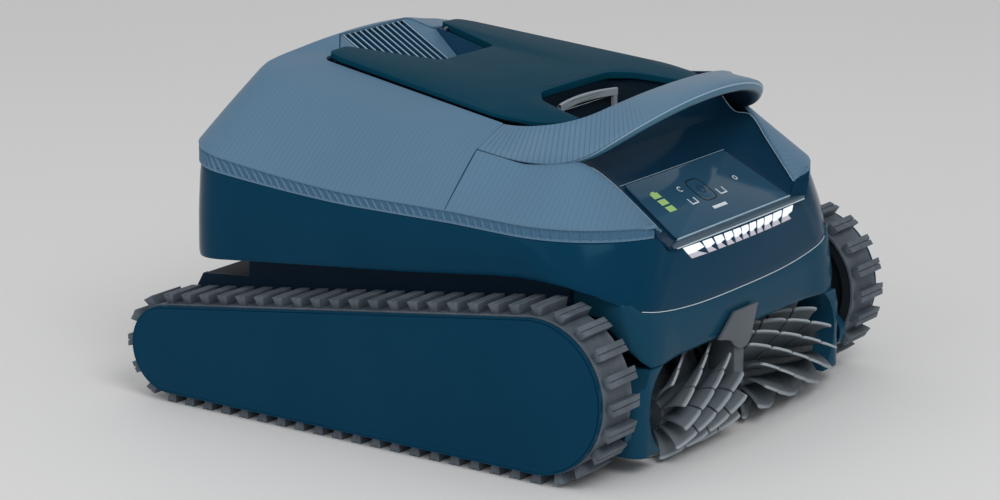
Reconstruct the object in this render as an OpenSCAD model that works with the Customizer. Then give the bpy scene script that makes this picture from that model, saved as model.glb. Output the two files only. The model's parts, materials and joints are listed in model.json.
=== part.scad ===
// Cordless tracked pool cleaner.
// The front faces -Y, +Z is up and the ground is z = 0. Left is the machine's own left, +X.

/* [Tracks] */
// Distance between the front and rear track axles
wheelbase = 336; // [320:1:350]
// Width over the two side covers
overall_w = 400; // [398:1:420]
// Pitch of the belt's guide teeth and lugs
belt_pitch = 17.66; // [17.5:0.01:17.8]
// Belt pitches round a front wheel
front_teeth = 20; // [20:4:20]
// Belt pitches round a rear wheel
rear_teeth = 12; // [12:4:12]
// Belt thickness without its lugs
belt_t = 2.5; // [2:0.1:3]
// Belt width
belt_w = 36; // [34:0.5:36.5]
// Height of the belt lugs
lug_h = 7.5; // [6:0.1:8]
// Width of a lug at its foot, along the belt
lug_foot = 5.6; // [4:0.1:6]
// Width of a lug at its tip, along the belt
lug_tip = 9.4; // [7:0.1:11]
// Width of the guide teeth inside the belt, across the belt
guide_w = 10; // [8:0.5:12]
// Height of the guide teeth inside the belt
tooth_h = 2; // [1.5:0.1:2.2]
// Thickness of a side cover
cover_t = 3.4; // [3:0.1:4]
// How far a cover's edge lies inside the belt's outer face
cover_inset = 1.5; // [1:0.1:3]

/* [Brushes] */
// Radius over the front brush fins
brush_r = 35.5; // [34:0.5:36]
// Height of the brush fins above the ground
brush_lift = 0.5; // [0.3:0.1:2]
// Fins round a brush
brush_fins = 12; // [10:1:14]
// Distance from the centre plane to the inner end of the left front brush
left_x0 = 3; // [3:0.5:6]
// Distance from the centre plane to the inner end of the right front brush
right_x0 = 25; // [25:0.5:28]
// Distance from the centre plane to a front brush's outer end
brush_x1 = 110; // [106:1:112]
// Distance from the centre plane to the inner end of a rear brush
rear_brush_x0 = 9; // [8.5:0.5:12]
// Distance from the centre plane to a rear brush's outer end
rear_brush_x1 = 140; // [130:1:142]
// Paddles along a fin of the left front brush
left_paddles = 5; // [4:1:6]
// Paddles along a fin of the right front brush
right_paddles = 4; // [3:1:5]
// Paddles along a fin of a rear brush
rear_paddles = 6; // [4:1:6]
// Twist of a fin over one paddle, in degrees
fin_twist = 17; // [12:1:20]
// How far the tip of a fin leans from its root
fin_lean = 2.5; // [0:0.5:4]
// Slit between paddles
slit = 1.2; // [0.8:0.1:2]
// Radius of a brush core
core_r = 14; // [13:0.5:16]
// Thickness of a fin
fin_t = 2; // [1.6:0.1:2.4]

/* [Drive] */
// Gear module
gear_m = 1; // [1:0.5:1]
// Teeth of the gear on a front wheel
wheel_gear_n = 48; // [48:12:48]
// Teeth of a motor pinion
pinion_n = 12; // [12:12:12]
// Teeth of an idler gear
idler_n = 18; // [18:6:18]
// Teeth of a brush gear
brush_gear_n = 21; // [21:3:21]
// Thickness of the gears
gear_t = 4.6; // [4:0.1:4.8]
// Radius of the track axles
axle_r = 5; // [4.5:0.1:5.5]
// Radius of the brush shafts and idler pins
shaft_r = 4; // [3.5:0.1:4.5]
// Radius of the motor shafts
motor_shaft_r = 2; // [1.8:0.1:2.4]
// Radial clearance of a running fit
run = 0.06; // [0.03:0.01:0.09]
// Gap between neighbouring pieces that do not touch
gap = 0.4; // [0.3:0.05:0.5]

/* [Body] */
// Distance from the centre plane to the outside of the chassis walls
chassis_hx = 151; // [150:0.5:151.5]
// Wall of the moulded shells
wall = 3; // [2.5:0.1:3.2]
// Half width of the body at the seam under the top shell
shell_hx = 171; // [169:1:172]
// Half width of the housing at its lower edge
skirt_hx = 175.5; // [173:0.5:177]
// Y of the body's rear face
rear_y = 197; // [195:1:198]
// Y of the housing's front face beside the light bar
front_face_y = -195; // [-196:1:-194]
// Height of the seam between the housing and the front bumper
seam_z = 105.5; // [104:0.5:107]
// Height of the bumper's lower edge over the front brush
bumper_z = 81; // [80.5:0.5:83]

/* [Lid] */
// Height of the lid plane above the front reference line
lid_z = 235; // [234:0.5:237]
// Rise of the lid plane per length towards the rear
lid_rise = 0.112; // [0.108:0.001:0.116]
// Height of the cover's underside above the shell
lid_low = 1.6; // [1.2:0.1:2]
// Height of the lid's edge above the shell
lid_edge = 4.2; // [4:0.1:5]
// Crown of the lid's cover
lid_crown = 3; // [2:0.1:4]
// Radius of the lid hinge pins
hinge_r = 1.3; // [1.1:0.1:1.4]

/* [Hidden] */
$fn = 72;
lap = 0.3; // how far a feature sinks into its carrier
function lerp(a, b, t) = a + (b - a) * t;
function unit(v) = v / norm(v);
function flip(p) = [-p[0], p[1], p[2]];
function smooth_step(a, b, x) = let (t = max(0, min(1, (x - a) / (b - a)))) t * t * (3 - 2 * t);
function reversed(v) = [for (i = [len(v) - 1 : -1 : 0]) v[i]];
// a cubic curve through its end points, shaped by two inner ones
function curve(p, t) =
    p[0] * pow(1 - t, 3) + p[1] * 3 * t * pow(1 - t, 2) + p[2] * 3 * t * t * (1 - t) + p[3] * pow(t, 3);
// a point on a chain of points, t from 0 to 1
function on_chain(v, t) = let (u = min(t, 0.99999) * (len(v) - 1), i = floor(u)) lerp(v[i], v[i + 1], u - i);
// the points that round one corner of an outline
function corner(a, p, b, r, n) =
    let (u = unit(a - p), v = unit(b - p), half = acos(u * v) / 2, c = p + unit(u + v) * (r / sin(half)),
         s = p + u * (r / tan(half)) - c, e = p + v * (r / tan(half)) - c, a0 = atan2(s[1], s[0]),
         turn = ((atan2(e[1], e[0]) - a0 + 540) % 360) - 180)
    [for (i = [0 : n]) c + r * [cos(a0 + turn * i / n), sin(a0 + turn * i / n)]];
// an outline from corner points [x, y, radius]
function rounded(v, n = 6) =
    let (m = len(v), p = [for (q = v) [q[0], q[1]]])
    [for (i = [0 : m - 1]) each corner(p[(i + m - 1) % m], p[i], p[(i + 1) % m], v[i][2], n)];
// a half outline on the +X side made whole by its mirror image
function both_sides(v) = concat(v, [for (p = reversed(v)) [-p[0], p[1]]]);

// --- track ---
neutral = belt_t / 2;
front_r = front_teeth * belt_pitch / (2 * PI);
rear_r = rear_teeth * belt_pitch / (2 * PI);
front_z = front_r + neutral + lug_h;
rear_z = rear_r + neutral + lug_h;
brush_z = brush_r + brush_lift;
brush_reach = 47.7;
backlash = 0.15;
brush_dy = sqrt(pow(brush_reach, 2) - pow(front_z - brush_z, 2));
front_y = -147.138;
back_y = front_y + wheelbase;
brush_y = front_y - brush_dy;
// the whole machine moves by this much so that the origin is the centre of its length
middle_y = (brush_y - brush_r + back_y + rear_z) / 2;
rear_brush_r = rear_z - brush_lift;
belt_x1 = overall_w / 2 - cover_t - gap;
belt_x0 = belt_x1 - belt_w;
lug_x0 = belt_x0 + 1.5;
lug_x1 = belt_x1 - 1.5;
guide_x = (belt_x0 + belt_x1) / 2;
frame_x0 = 171;
frame_x1 = 175;
frame_posts = [[-62, 70], [30, 62], [118, 54]];
screw_r = 2;
// the upper run leaves both wheels at this angle, the lower one points straight down
top_a = 90 - atan((front_z - rear_z) / wheelbase) - asin((front_r - rear_r) / norm([wheelbase, front_z - rear_z]));
run_l = sqrt(pow(wheelbase, 2) + pow(front_z - rear_z, 2) - pow(front_r - rear_r, 2));
step_f = 360 / front_teeth;
step_r = 360 / rear_teeth;
n_f = floor(90 / step_f);
n_r = floor(top_a / step_r);
// a place on the neutral line as [y, z, direction of the outward normal]
function on_front(a) = [front_y + front_r * cos(a), front_z + front_r * sin(a), a];
function on_rear(a) = [back_y + rear_r * cos(a), rear_z + rear_r * sin(a), a];
front_arc = front_r * (180 - top_a - n_f * step_f) * PI / 180;
rear_arc = rear_r * (top_a - n_r * step_r) * PI / 180;
rear_arc_low = rear_r * (90 - n_r * step_r) * PI / 180;
up_l = front_arc + run_l + rear_arc;
low_l = run_l + rear_arc_low;
n_up = round(up_l / belt_pitch);
n_low = round(low_l / belt_pitch);
function on_top_run(s) =
    s < front_arc ? on_front(180 - n_f * step_f - s / front_r * 180 / PI) :
    s > front_arc + run_l ? on_rear(top_a - (s - front_arc - run_l) / rear_r * 180 / PI) :
    lerp(on_front(top_a), on_rear(top_a), (s - front_arc) / run_l);
function on_low_run(s) =
    s > run_l ? on_rear(-90 + (s - run_l) / rear_r * 180 / PI) : lerp(on_front(-90), on_rear(-90), s / run_l);
belt_places = concat(
    [for (i = [-n_f : n_f]) on_front(180 + i * step_f)],
    [for (i = [-n_r : n_r]) on_rear(i * step_r)],
    [for (i = [1 : n_up - 1]) on_top_run(up_l * i / n_up)],
    [for (i = [1 : n_low - 1]) on_low_run(low_l * i / n_low)]);

// --- gears ---
gear_x0 = chassis_hx + 1.8;
gear_x1 = gear_x0 + gear_t;
guard_x0 = gear_x1 + gap;
guard_x1 = belt_x0 - gap;
function centres(a, b) = gear_m * (a + b) / 2 + backlash;
idler_a = centres(wheel_gear_n, idler_n);
idler_b = centres(idler_n, brush_gear_n);
line_a = atan2(brush_z - front_z, brush_y - front_y);
bend_a = acos((pow(idler_a, 2) + pow(brush_reach, 2) - pow(idler_b, 2)) / (2 * idler_a * brush_reach));
idler_dir = line_a - bend_a;
idler_y = front_y + idler_a * cos(idler_dir);
idler_z = front_z + idler_a * sin(idler_dir);
brush_dir = atan2(brush_z - idler_z, brush_y - idler_y);
motor_y = front_y + centres(wheel_gear_n, pinion_n);
// the turn that makes gear b mesh with gear a, b lying in direction d from a
function mesh_turn(na, ta, nb, d) = d + 180 - (180 - (d - ta) * na) / nb;
pinion_turn = mesh_turn(wheel_gear_n, 0, pinion_n, 0);
idler_turn = mesh_turn(wheel_gear_n, 0, idler_n, idler_dir);
brush_turn = mesh_turn(idler_n, idler_turn, brush_gear_n, brush_dir);

// --- body ---
wing_x0 = 118;
shaft_gap_x = -11;
seam_y = -59;
nose_r = 90;
tail_r = 42;
band_h = 9.5;
function grow(y, e) = pow(max(0, y - 30) / 165, e);
function band_z(y) = y < seam_y ? 171 - 4 * (seam_y - y) / 133 : 171 + 12 * grow(y, 1.5);
function band_top(y) = band_z(y) + band_h + 5 * grow(y, 1.5);
function crease_z(x, y) =
    228.4 + 0.1414 * y + 14 * grow(y, 0.3) * max(0, 1 - pow(x / 130, 2)) + (y > 130 ? 6 * arch(x) : 0);
function plane_z(y) = lid_z + lid_rise * (y + 74);
function skirt_z(y) =
    y > -76 ? 134.5 - 0.1 * (y + 76) : 76 + 58.5 * sqrt(max(0, 1 - pow(min(1, (-76 - y) / 128), 4.5)));
function seam_at(x) = seam_z + 12 * pow(abs(x) / 150, 3);
lid_a = atan(lid_rise);
// half of the body's outline in plan from the rear centre to the front centre, moved inwards by d
function half_plan(hx, fx, tr, nr, fy, bow, d = 0) = concat(
    [for (i = [0 : 4]) [(hx - tr) * i / 4, rear_y - d]],
    [for (i = [1 : 6]) [hx - tr + (tr - d) * sin(15 * i), rear_y - tr + (tr - d) * cos(15 * i)]],
    [for (i = [1 : 7]) [lerp(hx, fx, i / 7) - d, lerp(rear_y - tr, fy + nr, i / 7)]],
    [for (i = [1 : 18]) [fx - nr + (nr - d) * cos(5 * i), fy + nr - (nr - d) * sin(5 * i)]],
    [for (i = [1 : 5]) let (x = (fx - nr) * (1 - i / 5)) [x, fy + d - bow * (1 - pow(x / (fx - nr), 2))]]);
function upper_plan(d) = half_plan(shell_hx, shell_hx, tail_r, nose_r, front_face_y, 3, d);
function lower_plan(d) = half_plan(skirt_hx, 171, tail_r, 60, -197.5, 2, d);

// --- lid ---
hinge_y = 110;
hinge_z = plane_z(hinge_y) + 3.8;
lid_corners = [[0, -57, 4], [50, -59, 5], [55, -103.5, 3], [107, -104, 30], [116, -58, 60], [89, 108, 14],
    [84, 121, 8], [62, 121, 4], [35, 50, 10]];
lid_outline = rounded(concat([for (i = [1 : len(lid_corners) - 1]) lid_corners[i]],
    [for (i = [len(lid_corners) - 1 : -1 : 1]) [-lid_corners[i][0], lid_corners[i][1], lid_corners[i][2]]]));

// --- grille ramp ---
ramp_back = [140, 266];
ramp_front = [50, 213];
ramp_slope = (ramp_back[1] - ramp_front[1]) / (ramp_back[0] - ramp_front[0]);
function ramp_z(y) = ramp_front[1] + (y - ramp_front[0]) * ramp_slope;
function notch_hx(y) = lerp(35, 63, (y - ramp_front[0]) / 75);
function ramp_hx(y) = min(42, notch_hx(y) - 3);
// the shell's inner edge climbs from the lid plane to the head of the ramp
function rear_edge_z(y) = plane_z(y) + 8 * smooth_step(124, 141, y);
// the crest over the ramp stands further forward and higher than the one beside it
function arch(x) = 1 - smooth_step(40, 100, abs(x));

// --- control deck ---
fold = [-137, 189.5];
panel_low = [-191, 158];
panel_a = atan((fold[1] - panel_low[1]) / (fold[0] - panel_low[0]));
panel_l = norm(fold - panel_low);
button_at = [-1, 34.5]; // across, and up the panel from its lower edge
button_r = 10;

// --- inside ---
pump_y = 90;
motor_r = 17;
impeller_r = 37;
inlet = [56, -74, -50]; // half width, front, rear
basket = [84, -96, 40, 24.3, 214]; // half width, front, rear, bottom, top

// --- helpers ---
module on_right() { mirror([1, 0, 0]) children(); }
module both() { children(); mirror([1, 0, 0]) children(); }
// an outline drawn as [y, z], extruded along X
module side_view(x0, x1) { translate([x0, 0, 0]) rotate([90, 0, 90]) linear_extrude(x1 - x0) children(); }
module x_rod(x0, x1, y, z, r) { translate([x0, y, z]) rotate([0, 90, 0]) cylinder(r = r, h = x1 - x0); }
module slab(x0, x1, y0, y1, z0, z1) { translate([x0, y0, z0]) cube([x1 - x0, y1 - y0, z1 - z0]); }
// an outline drawn as [x, z], extruded towards the front from y
module front_view(y, t) { translate([0, y, 0]) rotate([90, 0, 0]) linear_extrude(t) children(); }
// the whole machine on its origin
module centred() { translate([0, -middle_y, 0]) children(); }
// plan coordinates with z measured from the lid plane
module on_lid_plane() { translate([0, -74, lid_z]) rotate([lid_a, 0, 0]) translate([0, 74, 0]) children(); }
// across the panel, up the panel from its lower edge, and out of it
module on_panel() { translate([0, panel_low[0], panel_low[1]]) rotate([panel_a, 0, 0]) children(); }

function quad(a, b, c, d) = [[a, b, c], [a, c, d]];
// a shell with thickness between an outer and an inner grid of points
module skin(outer, inner, closed = false) {
    n = len(outer);
    m = len(outer[0]);
    last = closed ? n - 1 : n - 2;
    function o(s, k) = (s % n) * m + k;
    function i(s, k) = n * m + (s % n) * m + k;
    polyhedron(points = concat([for (row = outer) each row], [for (row = inner) each row]), faces = concat(
        [for (s = [0 : last], k = [0 : m - 2]) each quad(o(s, k), o(s, k + 1), o(s + 1, k + 1), o(s + 1, k))],
        [for (s = [0 : last], k = [0 : m - 2]) each quad(i(s + 1, k), i(s + 1, k + 1), i(s, k + 1), i(s, k))],
        [for (s = [0 : last]) each quad(i(s, 0), o(s, 0), o(s + 1, 0), i(s + 1, 0))],
        [for (s = [0 : last]) each quad(i(s + 1, m - 1), o(s + 1, m - 1), o(s, m - 1), i(s, m - 1))],
        closed ? [] : [for (k = [0 : m - 2]) each quad(i(0, k), i(0, k + 1), o(0, k + 1), o(0, k))],
        closed ? [] : [for (k = [0 : m - 2])
            each quad(o(n - 1, k), o(n - 1, k + 1), i(n - 1, k + 1), i(n - 1, k))]));
}
// a solid bar through sections with the same number of points
module bar(sections) {
    n = len(sections);
    m = len(sections[0]);
    polyhedron(points = [for (row = sections) each row], faces = concat(
        [for (s = [0 : n - 2], k = [0 : m - 1])
            each quad(s * m + k, s * m + (k + 1) % m, (s + 1) * m + (k + 1) % m, (s + 1) * m + k)],
        [for (k = [1 : m - 2]) [0, k + 1, k]],
        [for (k = [1 : m - 2]) [(n - 1) * m, (n - 1) * m + k, (n - 1) * m + k + 1]]));
}
module gear_outline(n) {
    r = gear_m * n / 2;
    a = 360 / n;
    polygon([for (i = [0 : n - 1]) each let (c = i * a) [
        (r - 1.3 * gear_m) * [cos(c - 0.33 * a), sin(c - 0.33 * a)], r * [cos(c - 0.2 * a), sin(c - 0.2 * a)],
        (r + 0.85 * gear_m) * [cos(c - 0.09 * a), sin(c - 0.09 * a)],
        (r + 0.85 * gear_m) * [cos(c + 0.09 * a), sin(c + 0.09 * a)],
        r * [cos(c + 0.2 * a), sin(c + 0.2 * a)], (r - 1.3 * gear_m) * [cos(c + 0.33 * a), sin(c + 0.33 * a)]]]);
}
module gear(y, z, n, turn) {
    translate([gear_x0, y, z]) rotate([90, 0, 90]) rotate(turn) linear_extrude(gear_t) gear_outline(n);
}
// the belt's outline at distance d outside its neutral line
module loop(d) {
    n = 44;
    turn = top_a + 90;
    polygon(concat(
        [for (i = [0 : n]) let (a = -90 + turn * i / n) [back_y + (rear_r + d) * cos(a), rear_z + (rear_r + d) * sin(a)]],
        [for (i = [0 : n]) let (a = top_a + (360 - turn) * i / n)
            [front_y + (front_r + d) * cos(a), front_z + (front_r + d) * sin(a)]]));
}

// --- tracks ---
module belt() {
    tooth_foot = 5.2;
    tooth_tip = 3.4;
    groove_w = 1.8;
    groove_d = 1.2;
    side_view(belt_x0, belt_x1) difference() {
        loop(neutral);
        loop(-neutral);
    }
    side_view(lug_x0, lug_x1) for (p = belt_places) translate([p[0], p[1]]) rotate(p[2] - 90) polygon([
        [-lug_foot / 2, neutral - lap], [lug_foot / 2, neutral - lap], [lug_tip / 2, neutral + lug_h],
        [groove_w / 2, neutral + lug_h], [0, neutral + lug_h - groove_d], [-groove_w / 2, neutral + lug_h],
        [-lug_tip / 2, neutral + lug_h]]);
    side_view(guide_x - guide_w / 2, guide_x + guide_w / 2) for (p = belt_places) translate([p[0], p[1]]) rotate(p[2] - 90)
        polygon([[-tooth_foot / 2, lap - neutral], [tooth_foot / 2, lap - neutral],
            [tooth_tip / 2, -neutral - tooth_h], [-tooth_tip / 2, -neutral - tooth_h]]);
}
module wheel(y, z, r, spokes) {
    rim_r = r - neutral - gap;
    groove_d = tooth_h + 0.6;
    groove_hw = guide_w / 2 + 0.5;
    x0 = belt_x0 + 1;
    x1 = belt_x1 - 1;
    hub_x1 = belt_x1 - 7;
    difference() {
        union() {
            difference() {
                x_rod(x0, x1, y, z, rim_r);
                x_rod(x0 - 1, x1 + 1, y, z, rim_r - 7);
                difference() {
                    x_rod(guide_x - groove_hw, guide_x + groove_hw, y, z, rim_r + 1);
                    x_rod(guide_x - groove_hw - 1, guide_x + groove_hw + 1, y, z, rim_r - groove_d);
                }
            }
            x_rod(x0 + 6, x0 + 10, y, z, rim_r - 6.5);
            x_rod(x0, hub_x1, y, z, axle_r + 6);
            for (i = [0 : spokes - 1]) translate([x0 + 9.5, y, z]) rotate([360 / spokes * i, 0, 0])
                translate([0, axle_r + 5, -1.5]) cube([16, rim_r - axle_r - 11.5, 3]);
        }
        x_rod(x0 - 1, hub_x1 + 1, y, z, axle_r + run);
    }
}
module front_wheel() {
    wheel(front_y, front_z, front_r, 6);
    difference() {
        union() {
            gear(front_y, front_z, wheel_gear_n, 0);
            x_rod(gear_x1 - lap, belt_x0 + 1 + lap, front_y, front_z, axle_r + 8);
        }
        x_rod(gear_x0 - 1, belt_x0 + 2, front_y, front_z, axle_r + run);
    }
}
module rear_wheel() { wheel(back_y, rear_z, rear_r, 6); }
module cover() {
    x0 = belt_x1 + gap;
    edge = neutral - cover_inset;
    lip_w = 5;
    lip_h = 1;
    boss_x = belt_x1 - 6.6;
    difference() {
        union() {
            side_view(x0, x0 + cover_t - lip_h) loop(edge);
            side_view(x0, x0 + cover_t) difference() {
                loop(edge - 1.2);
                loop(edge - lip_w);
            }
            for (p = [[front_y, front_z], [back_y, rear_z]]) x_rod(boss_x, x0 + lap, p[0], p[1], axle_r + 5);
            for (p = frame_posts) x_rod(frame_x1 + 12, x0 + lap, p[0], p[1], 6);
        }
        for (p = [[front_y, front_z], [back_y, rear_z]]) x_rod(boss_x - 1, x0 + 0.5, p[0], p[1], axle_r + run);
        for (p = frame_posts) x_rod(frame_x1 + 11, x0 + 0.5, p[0], p[1], screw_r);
    }
}
module track_frame() {
    low_z = lug_h + belt_t + tooth_h + 1.5;
    front_end = front_y + front_r + 4;
    rear_end = back_y - rear_r - 4;
    top_slope = tan(top_a - 90);
    top_at = function(y) front_z + (front_r - neutral - tooth_h - 1.5) / sin(top_a) + (y - front_y) * top_slope;
    difference() {
        union() {
            side_view(frame_x0, frame_x1) difference() {
                polygon([[front_end, low_z], [rear_end, low_z], [rear_end, top_at(rear_end)],
                    [front_end, top_at(front_end)]]);
                for (w = [[-34, 0], [58, -4]]) translate([w[0], 62 + w[1]]) circle(22);
            }
            slab(belt_x0 + 6, belt_x1 - 6, front_end + 2, rear_end - 2, low_z, low_z + 3);
            for (p = frame_posts) x_rod(chassis_hx + gap, frame_x1 + 11.6, p[0], p[1], 6);
        }
        for (p = frame_posts) x_rod(chassis_hx, frame_x1 + 12, p[0], p[1], screw_r);
    }
}
module screws() {
    for (p = frame_posts) x_rod(frame_x0 + 2, frame_x1 + 20, p[0], p[1], screw_r - 0.2);
}

// --- brushes and drive ---
module fins(r, x0, x1, paddles) {
    cell = (x1 - x0 + slit) / paddles;
    w = fin_t / 2;
    tip = sqrt(pow(r, 2) - pow(fin_lean + w, 2));
    mid = (core_r + tip) / 2;
    fin = [[core_r, -2 * w], [mid, -w], [tip, fin_lean - w], [tip, fin_lean + w], [mid, w], [core_r, 2 * w]];
    for (k = [0 : paddles - 1]) translate([x0 + k * cell, 0, 0]) rotate([90, 0, 90])
        rotate(k * fin_twist) linear_extrude(cell - slit, twist = -fin_twist, slices = 2, $fn = 3)
            polygon([for (i = [0 : brush_fins - 1]) each let (a = 360 / brush_fins * i)
                [for (p = fin) [p[0] * cos(a) - p[1] * sin(a), p[0] * sin(a) + p[1] * cos(a)]]]);
}
module brush(y, z, r, x0, x1, paddles, bore_r) {
    difference() {
        union() {
            translate([0, y, z]) fins(r, x0, x1, paddles);
            x_rod(x0 + 0.5, x1 - 0.5, y, z, core_r - 1.5);
        }
        x_rod(x0 - 1, x1 + 1, y, z, bore_r);
    }
}
module front_shaft(x0) {
    x_rod(x0, gear_x1, brush_y, brush_z, shaft_r);
    gear(brush_y, brush_z, brush_gear_n, brush_turn);
}
module front_bracket() {
    x0 = shaft_gap_x - 10;
    x1 = shaft_gap_x + 10;
    difference() {
        union() {
            x_rod(x0, x1, brush_y, brush_z, shaft_r + 5);
            slab(x0 + 3, x1 - 3, -203.4, brush_y + 4, brush_z, bumper_z);
            front_view(-203, 3) polygon([[-44, 78.5], [-22, 95], [11, 95], [3.5, 76], [2, 71], [2, 56], [0, 54],
                [-12, 54], [-19, 60], [-23.5, 70], [-27, 74], [-33, 76]]);
        }
        x_rod(x0 - 1, x1 + 1, brush_y, brush_z, shaft_r + run);
    }
}
module rear_bracket() {
    x1 = rear_brush_x0 - 2;
    difference() {
        union() {
            x_rod(-x1, x1, back_y, rear_z, axle_r + 5);
            slab(1 - x1, x1 - 1, back_y - 4, back_y + 4, rear_z, 88.2);
        }
        x_rod(-x1 - 1, x1 + 1, back_y, rear_z, axle_r + run);
    }
}
module pinion() {
    gear(motor_y, front_z, pinion_n, pinion_turn);
    x_rod(chassis_hx - 10, gear_x1, motor_y, front_z, motor_shaft_r);
}
module idler() {
    difference() {
        gear(idler_y, idler_z, idler_n, idler_turn);
        x_rod(gear_x0 - 1, gear_x1 + 1, idler_y, idler_z, shaft_r + run);
    }
}
module gear_cover() {
    rim = 1.4;
    spots = [[front_y, front_z, wheel_gear_n / 2 + 2.4], [idler_y, idler_z, idler_n / 2 + 2.4],
        [brush_y, brush_z, brush_gear_n / 2 + 2.4], [motor_y, front_z, pinion_n / 2 + 2.4]];
    difference() {
        side_view(chassis_hx + 0.3, guard_x1) for (p = spots) translate([p[0], p[1]]) circle(p[2] + rim);
        side_view(chassis_hx, guard_x0) for (p = spots) translate([p[0], p[1]]) circle(p[2]);
        x_rod(guard_x0 - 1, guard_x1 + 1, front_y, front_z, axle_r + 8.6);
    }
}
module drive_motor() {
    difference() {
        union() {
            x_rod(94, chassis_hx - 7, motor_y, front_z, motor_r);
            x_rod(90, 95, motor_y, front_z, motor_r - 4);
        }
        x_rod(chassis_hx - 12, chassis_hx - 6, motor_y, front_z, motor_shaft_r + run);
    }
}
module power_unit() {
    difference() {
        slab(-105, 105, 46, 140.7, 24.3, 140);
        translate([0, pump_y, 104]) cylinder(r = impeller_r + 3, h = 40);
        translate([0, pump_y, 34]) cylinder(r = 26, h = 71);
        slab(-82, 82, 119, 137, 34, 110);
        slab(-97, -89, 54, 112, 34, 110);
    }
}
module pump() {
    translate([0, pump_y, 34.4]) cylinder(r = 24, h = 60);
    translate([0, pump_y, 94]) cylinder(r = 12, h = 6);
    translate([0, pump_y, 99]) cylinder(r = 3, h = 36);
}
module impeller_wheel() {
    difference() {
        union() {
            translate([0, pump_y, 106]) cylinder(r = impeller_r, h = 2);
            translate([0, pump_y, 106]) cylinder(r = 10, h = 26);
            for (i = [0 : 6]) translate([0, pump_y, 107]) rotate(360 / 7 * i)
                translate([9, -1, 0]) rotate(-28) cube([24, 2, 20]);
        }
        translate([0, pump_y, 105]) cylinder(r = 3 + run, h = 30);
    }
}
module battery() {
    for (i = [0 : 3]) translate([-60 + 40 * i, 128, 34.4]) cylinder(r = 8.2, h = 66);
    slab(-78, 78, 121, 135, 100, 104);
}
module board() {
    slab(-95, -93, 56, 110, 34.3, 105);
    for (y = [62, 84]) slab(-93, -90.4, y, y + 14, 50, 64);
}
module duct() {
    difference() {
        side_view(-32, 32) polygon([[54, 140.3], [138, 140.3], [138, ramp_z(138) - 12], [54, ramp_z(54) - 12]]);
        side_view(-29, 29) polygon([[57, 139], [135, 139], [135, 300], [57, 300]]);
    }
}
module grille() {
    floor_d = 9;
    lean = 2.5;
    // along the ramp: y at its edge, then x, y and z of the top of the wall beside it
    stations = concat([[140, 41, 140.2, rear_edge_z(140.2)], [129, 59.4, 126.6, rear_edge_z(126.6)]],
        [for (y = [121, 105, 78, 51.2]) [y, notch_hx(y) - 1.4, y, plane_z(y) + 3.6]]);
    wall_at = function(d) [for (s = stations) let (f = s[0] < 60 ? d : 0)
        [[ramp_hx(s[0]) - d, s[0] + f, ramp_z(s[0]) - floor_d], [s[1] - d, s[2] + f, s[3]]]];
    outer = wall_at(0);
    inner = wall_at(lean);
    slats = 12;
    slat_pitch = 7;
    difference() {
        union() {
            skin(concat([for (r = outer) [for (p = r) flip(p)]], reversed(outer)),
                concat([for (r = inner) [for (p = r) flip(p)]], reversed(inner)));
            both() x_rod(50, 57, hinge_y, hinge_z - 0.6, 3.4);
        }
        both() x_rod(53.5, 60, hinge_y, hinge_z, hinge_r + run);
    }
    for (i = [0 : slats - 1]) let (x = (i - (slats - 1) / 2) * slat_pitch, y = 52 + max(0, abs(x) - 31) * 2.7)
        side_view(x - 0.8, x + 0.8) polygon([[y, ramp_z(y) - floor_d], [139, ramp_z(139) - floor_d],
            [139, ramp_z(139) - 2], [y, ramp_z(y) - 2]]);
    for (y = [72, 100, 128]) translate([0, y, ramp_z(y) - floor_d]) rotate([atan(ramp_slope), 0, 0])
        slab(1.5 - ramp_hx(y), ramp_hx(y) - 1.5, -1.5, 1.5, 0.2, 3);
}
module filter_box() {
    difference() {
        slab(-basket[0], basket[0], basket[1], basket[2], basket[3], basket[4]);
        slab(-basket[0] + 3, basket[0] - 3, basket[1] + 3, basket[2] - 3, basket[3] + 3, basket[4] + 1);
        slab(2 - inlet[0], inlet[0] - 2, inlet[1] + 2, inlet[2] - 2, basket[3] - 1, basket[3] + 4);
        for (y = [-88, -44, -2]) slab(-basket[0] - 1, basket[0] + 1, y, y + 34, 48, 196);
        for (x = [-76, -24, 28]) slab(x, x + 48, basket[1] - 1, basket[2] + 1, 48, 196);
    }
}
module mesh_walls() {
    inset = 3.3;
    difference() {
        slab(-basket[0] + inset, basket[0] - inset, basket[1] + inset, basket[2] - inset, 46, 200);
        slab(-basket[0] + inset + 1, basket[0] - inset - 1, basket[1] + inset + 1, basket[2] - inset - 1, 45, 201);
    }
}
module bail() {
    y = -84;
    x_rod(-46, 46, y, 223, 4);
    for (x = [-42, 42]) slab(x - 4, x + 4, basket[1], y + 3, basket[4] + 0.2, 222);
}

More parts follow.
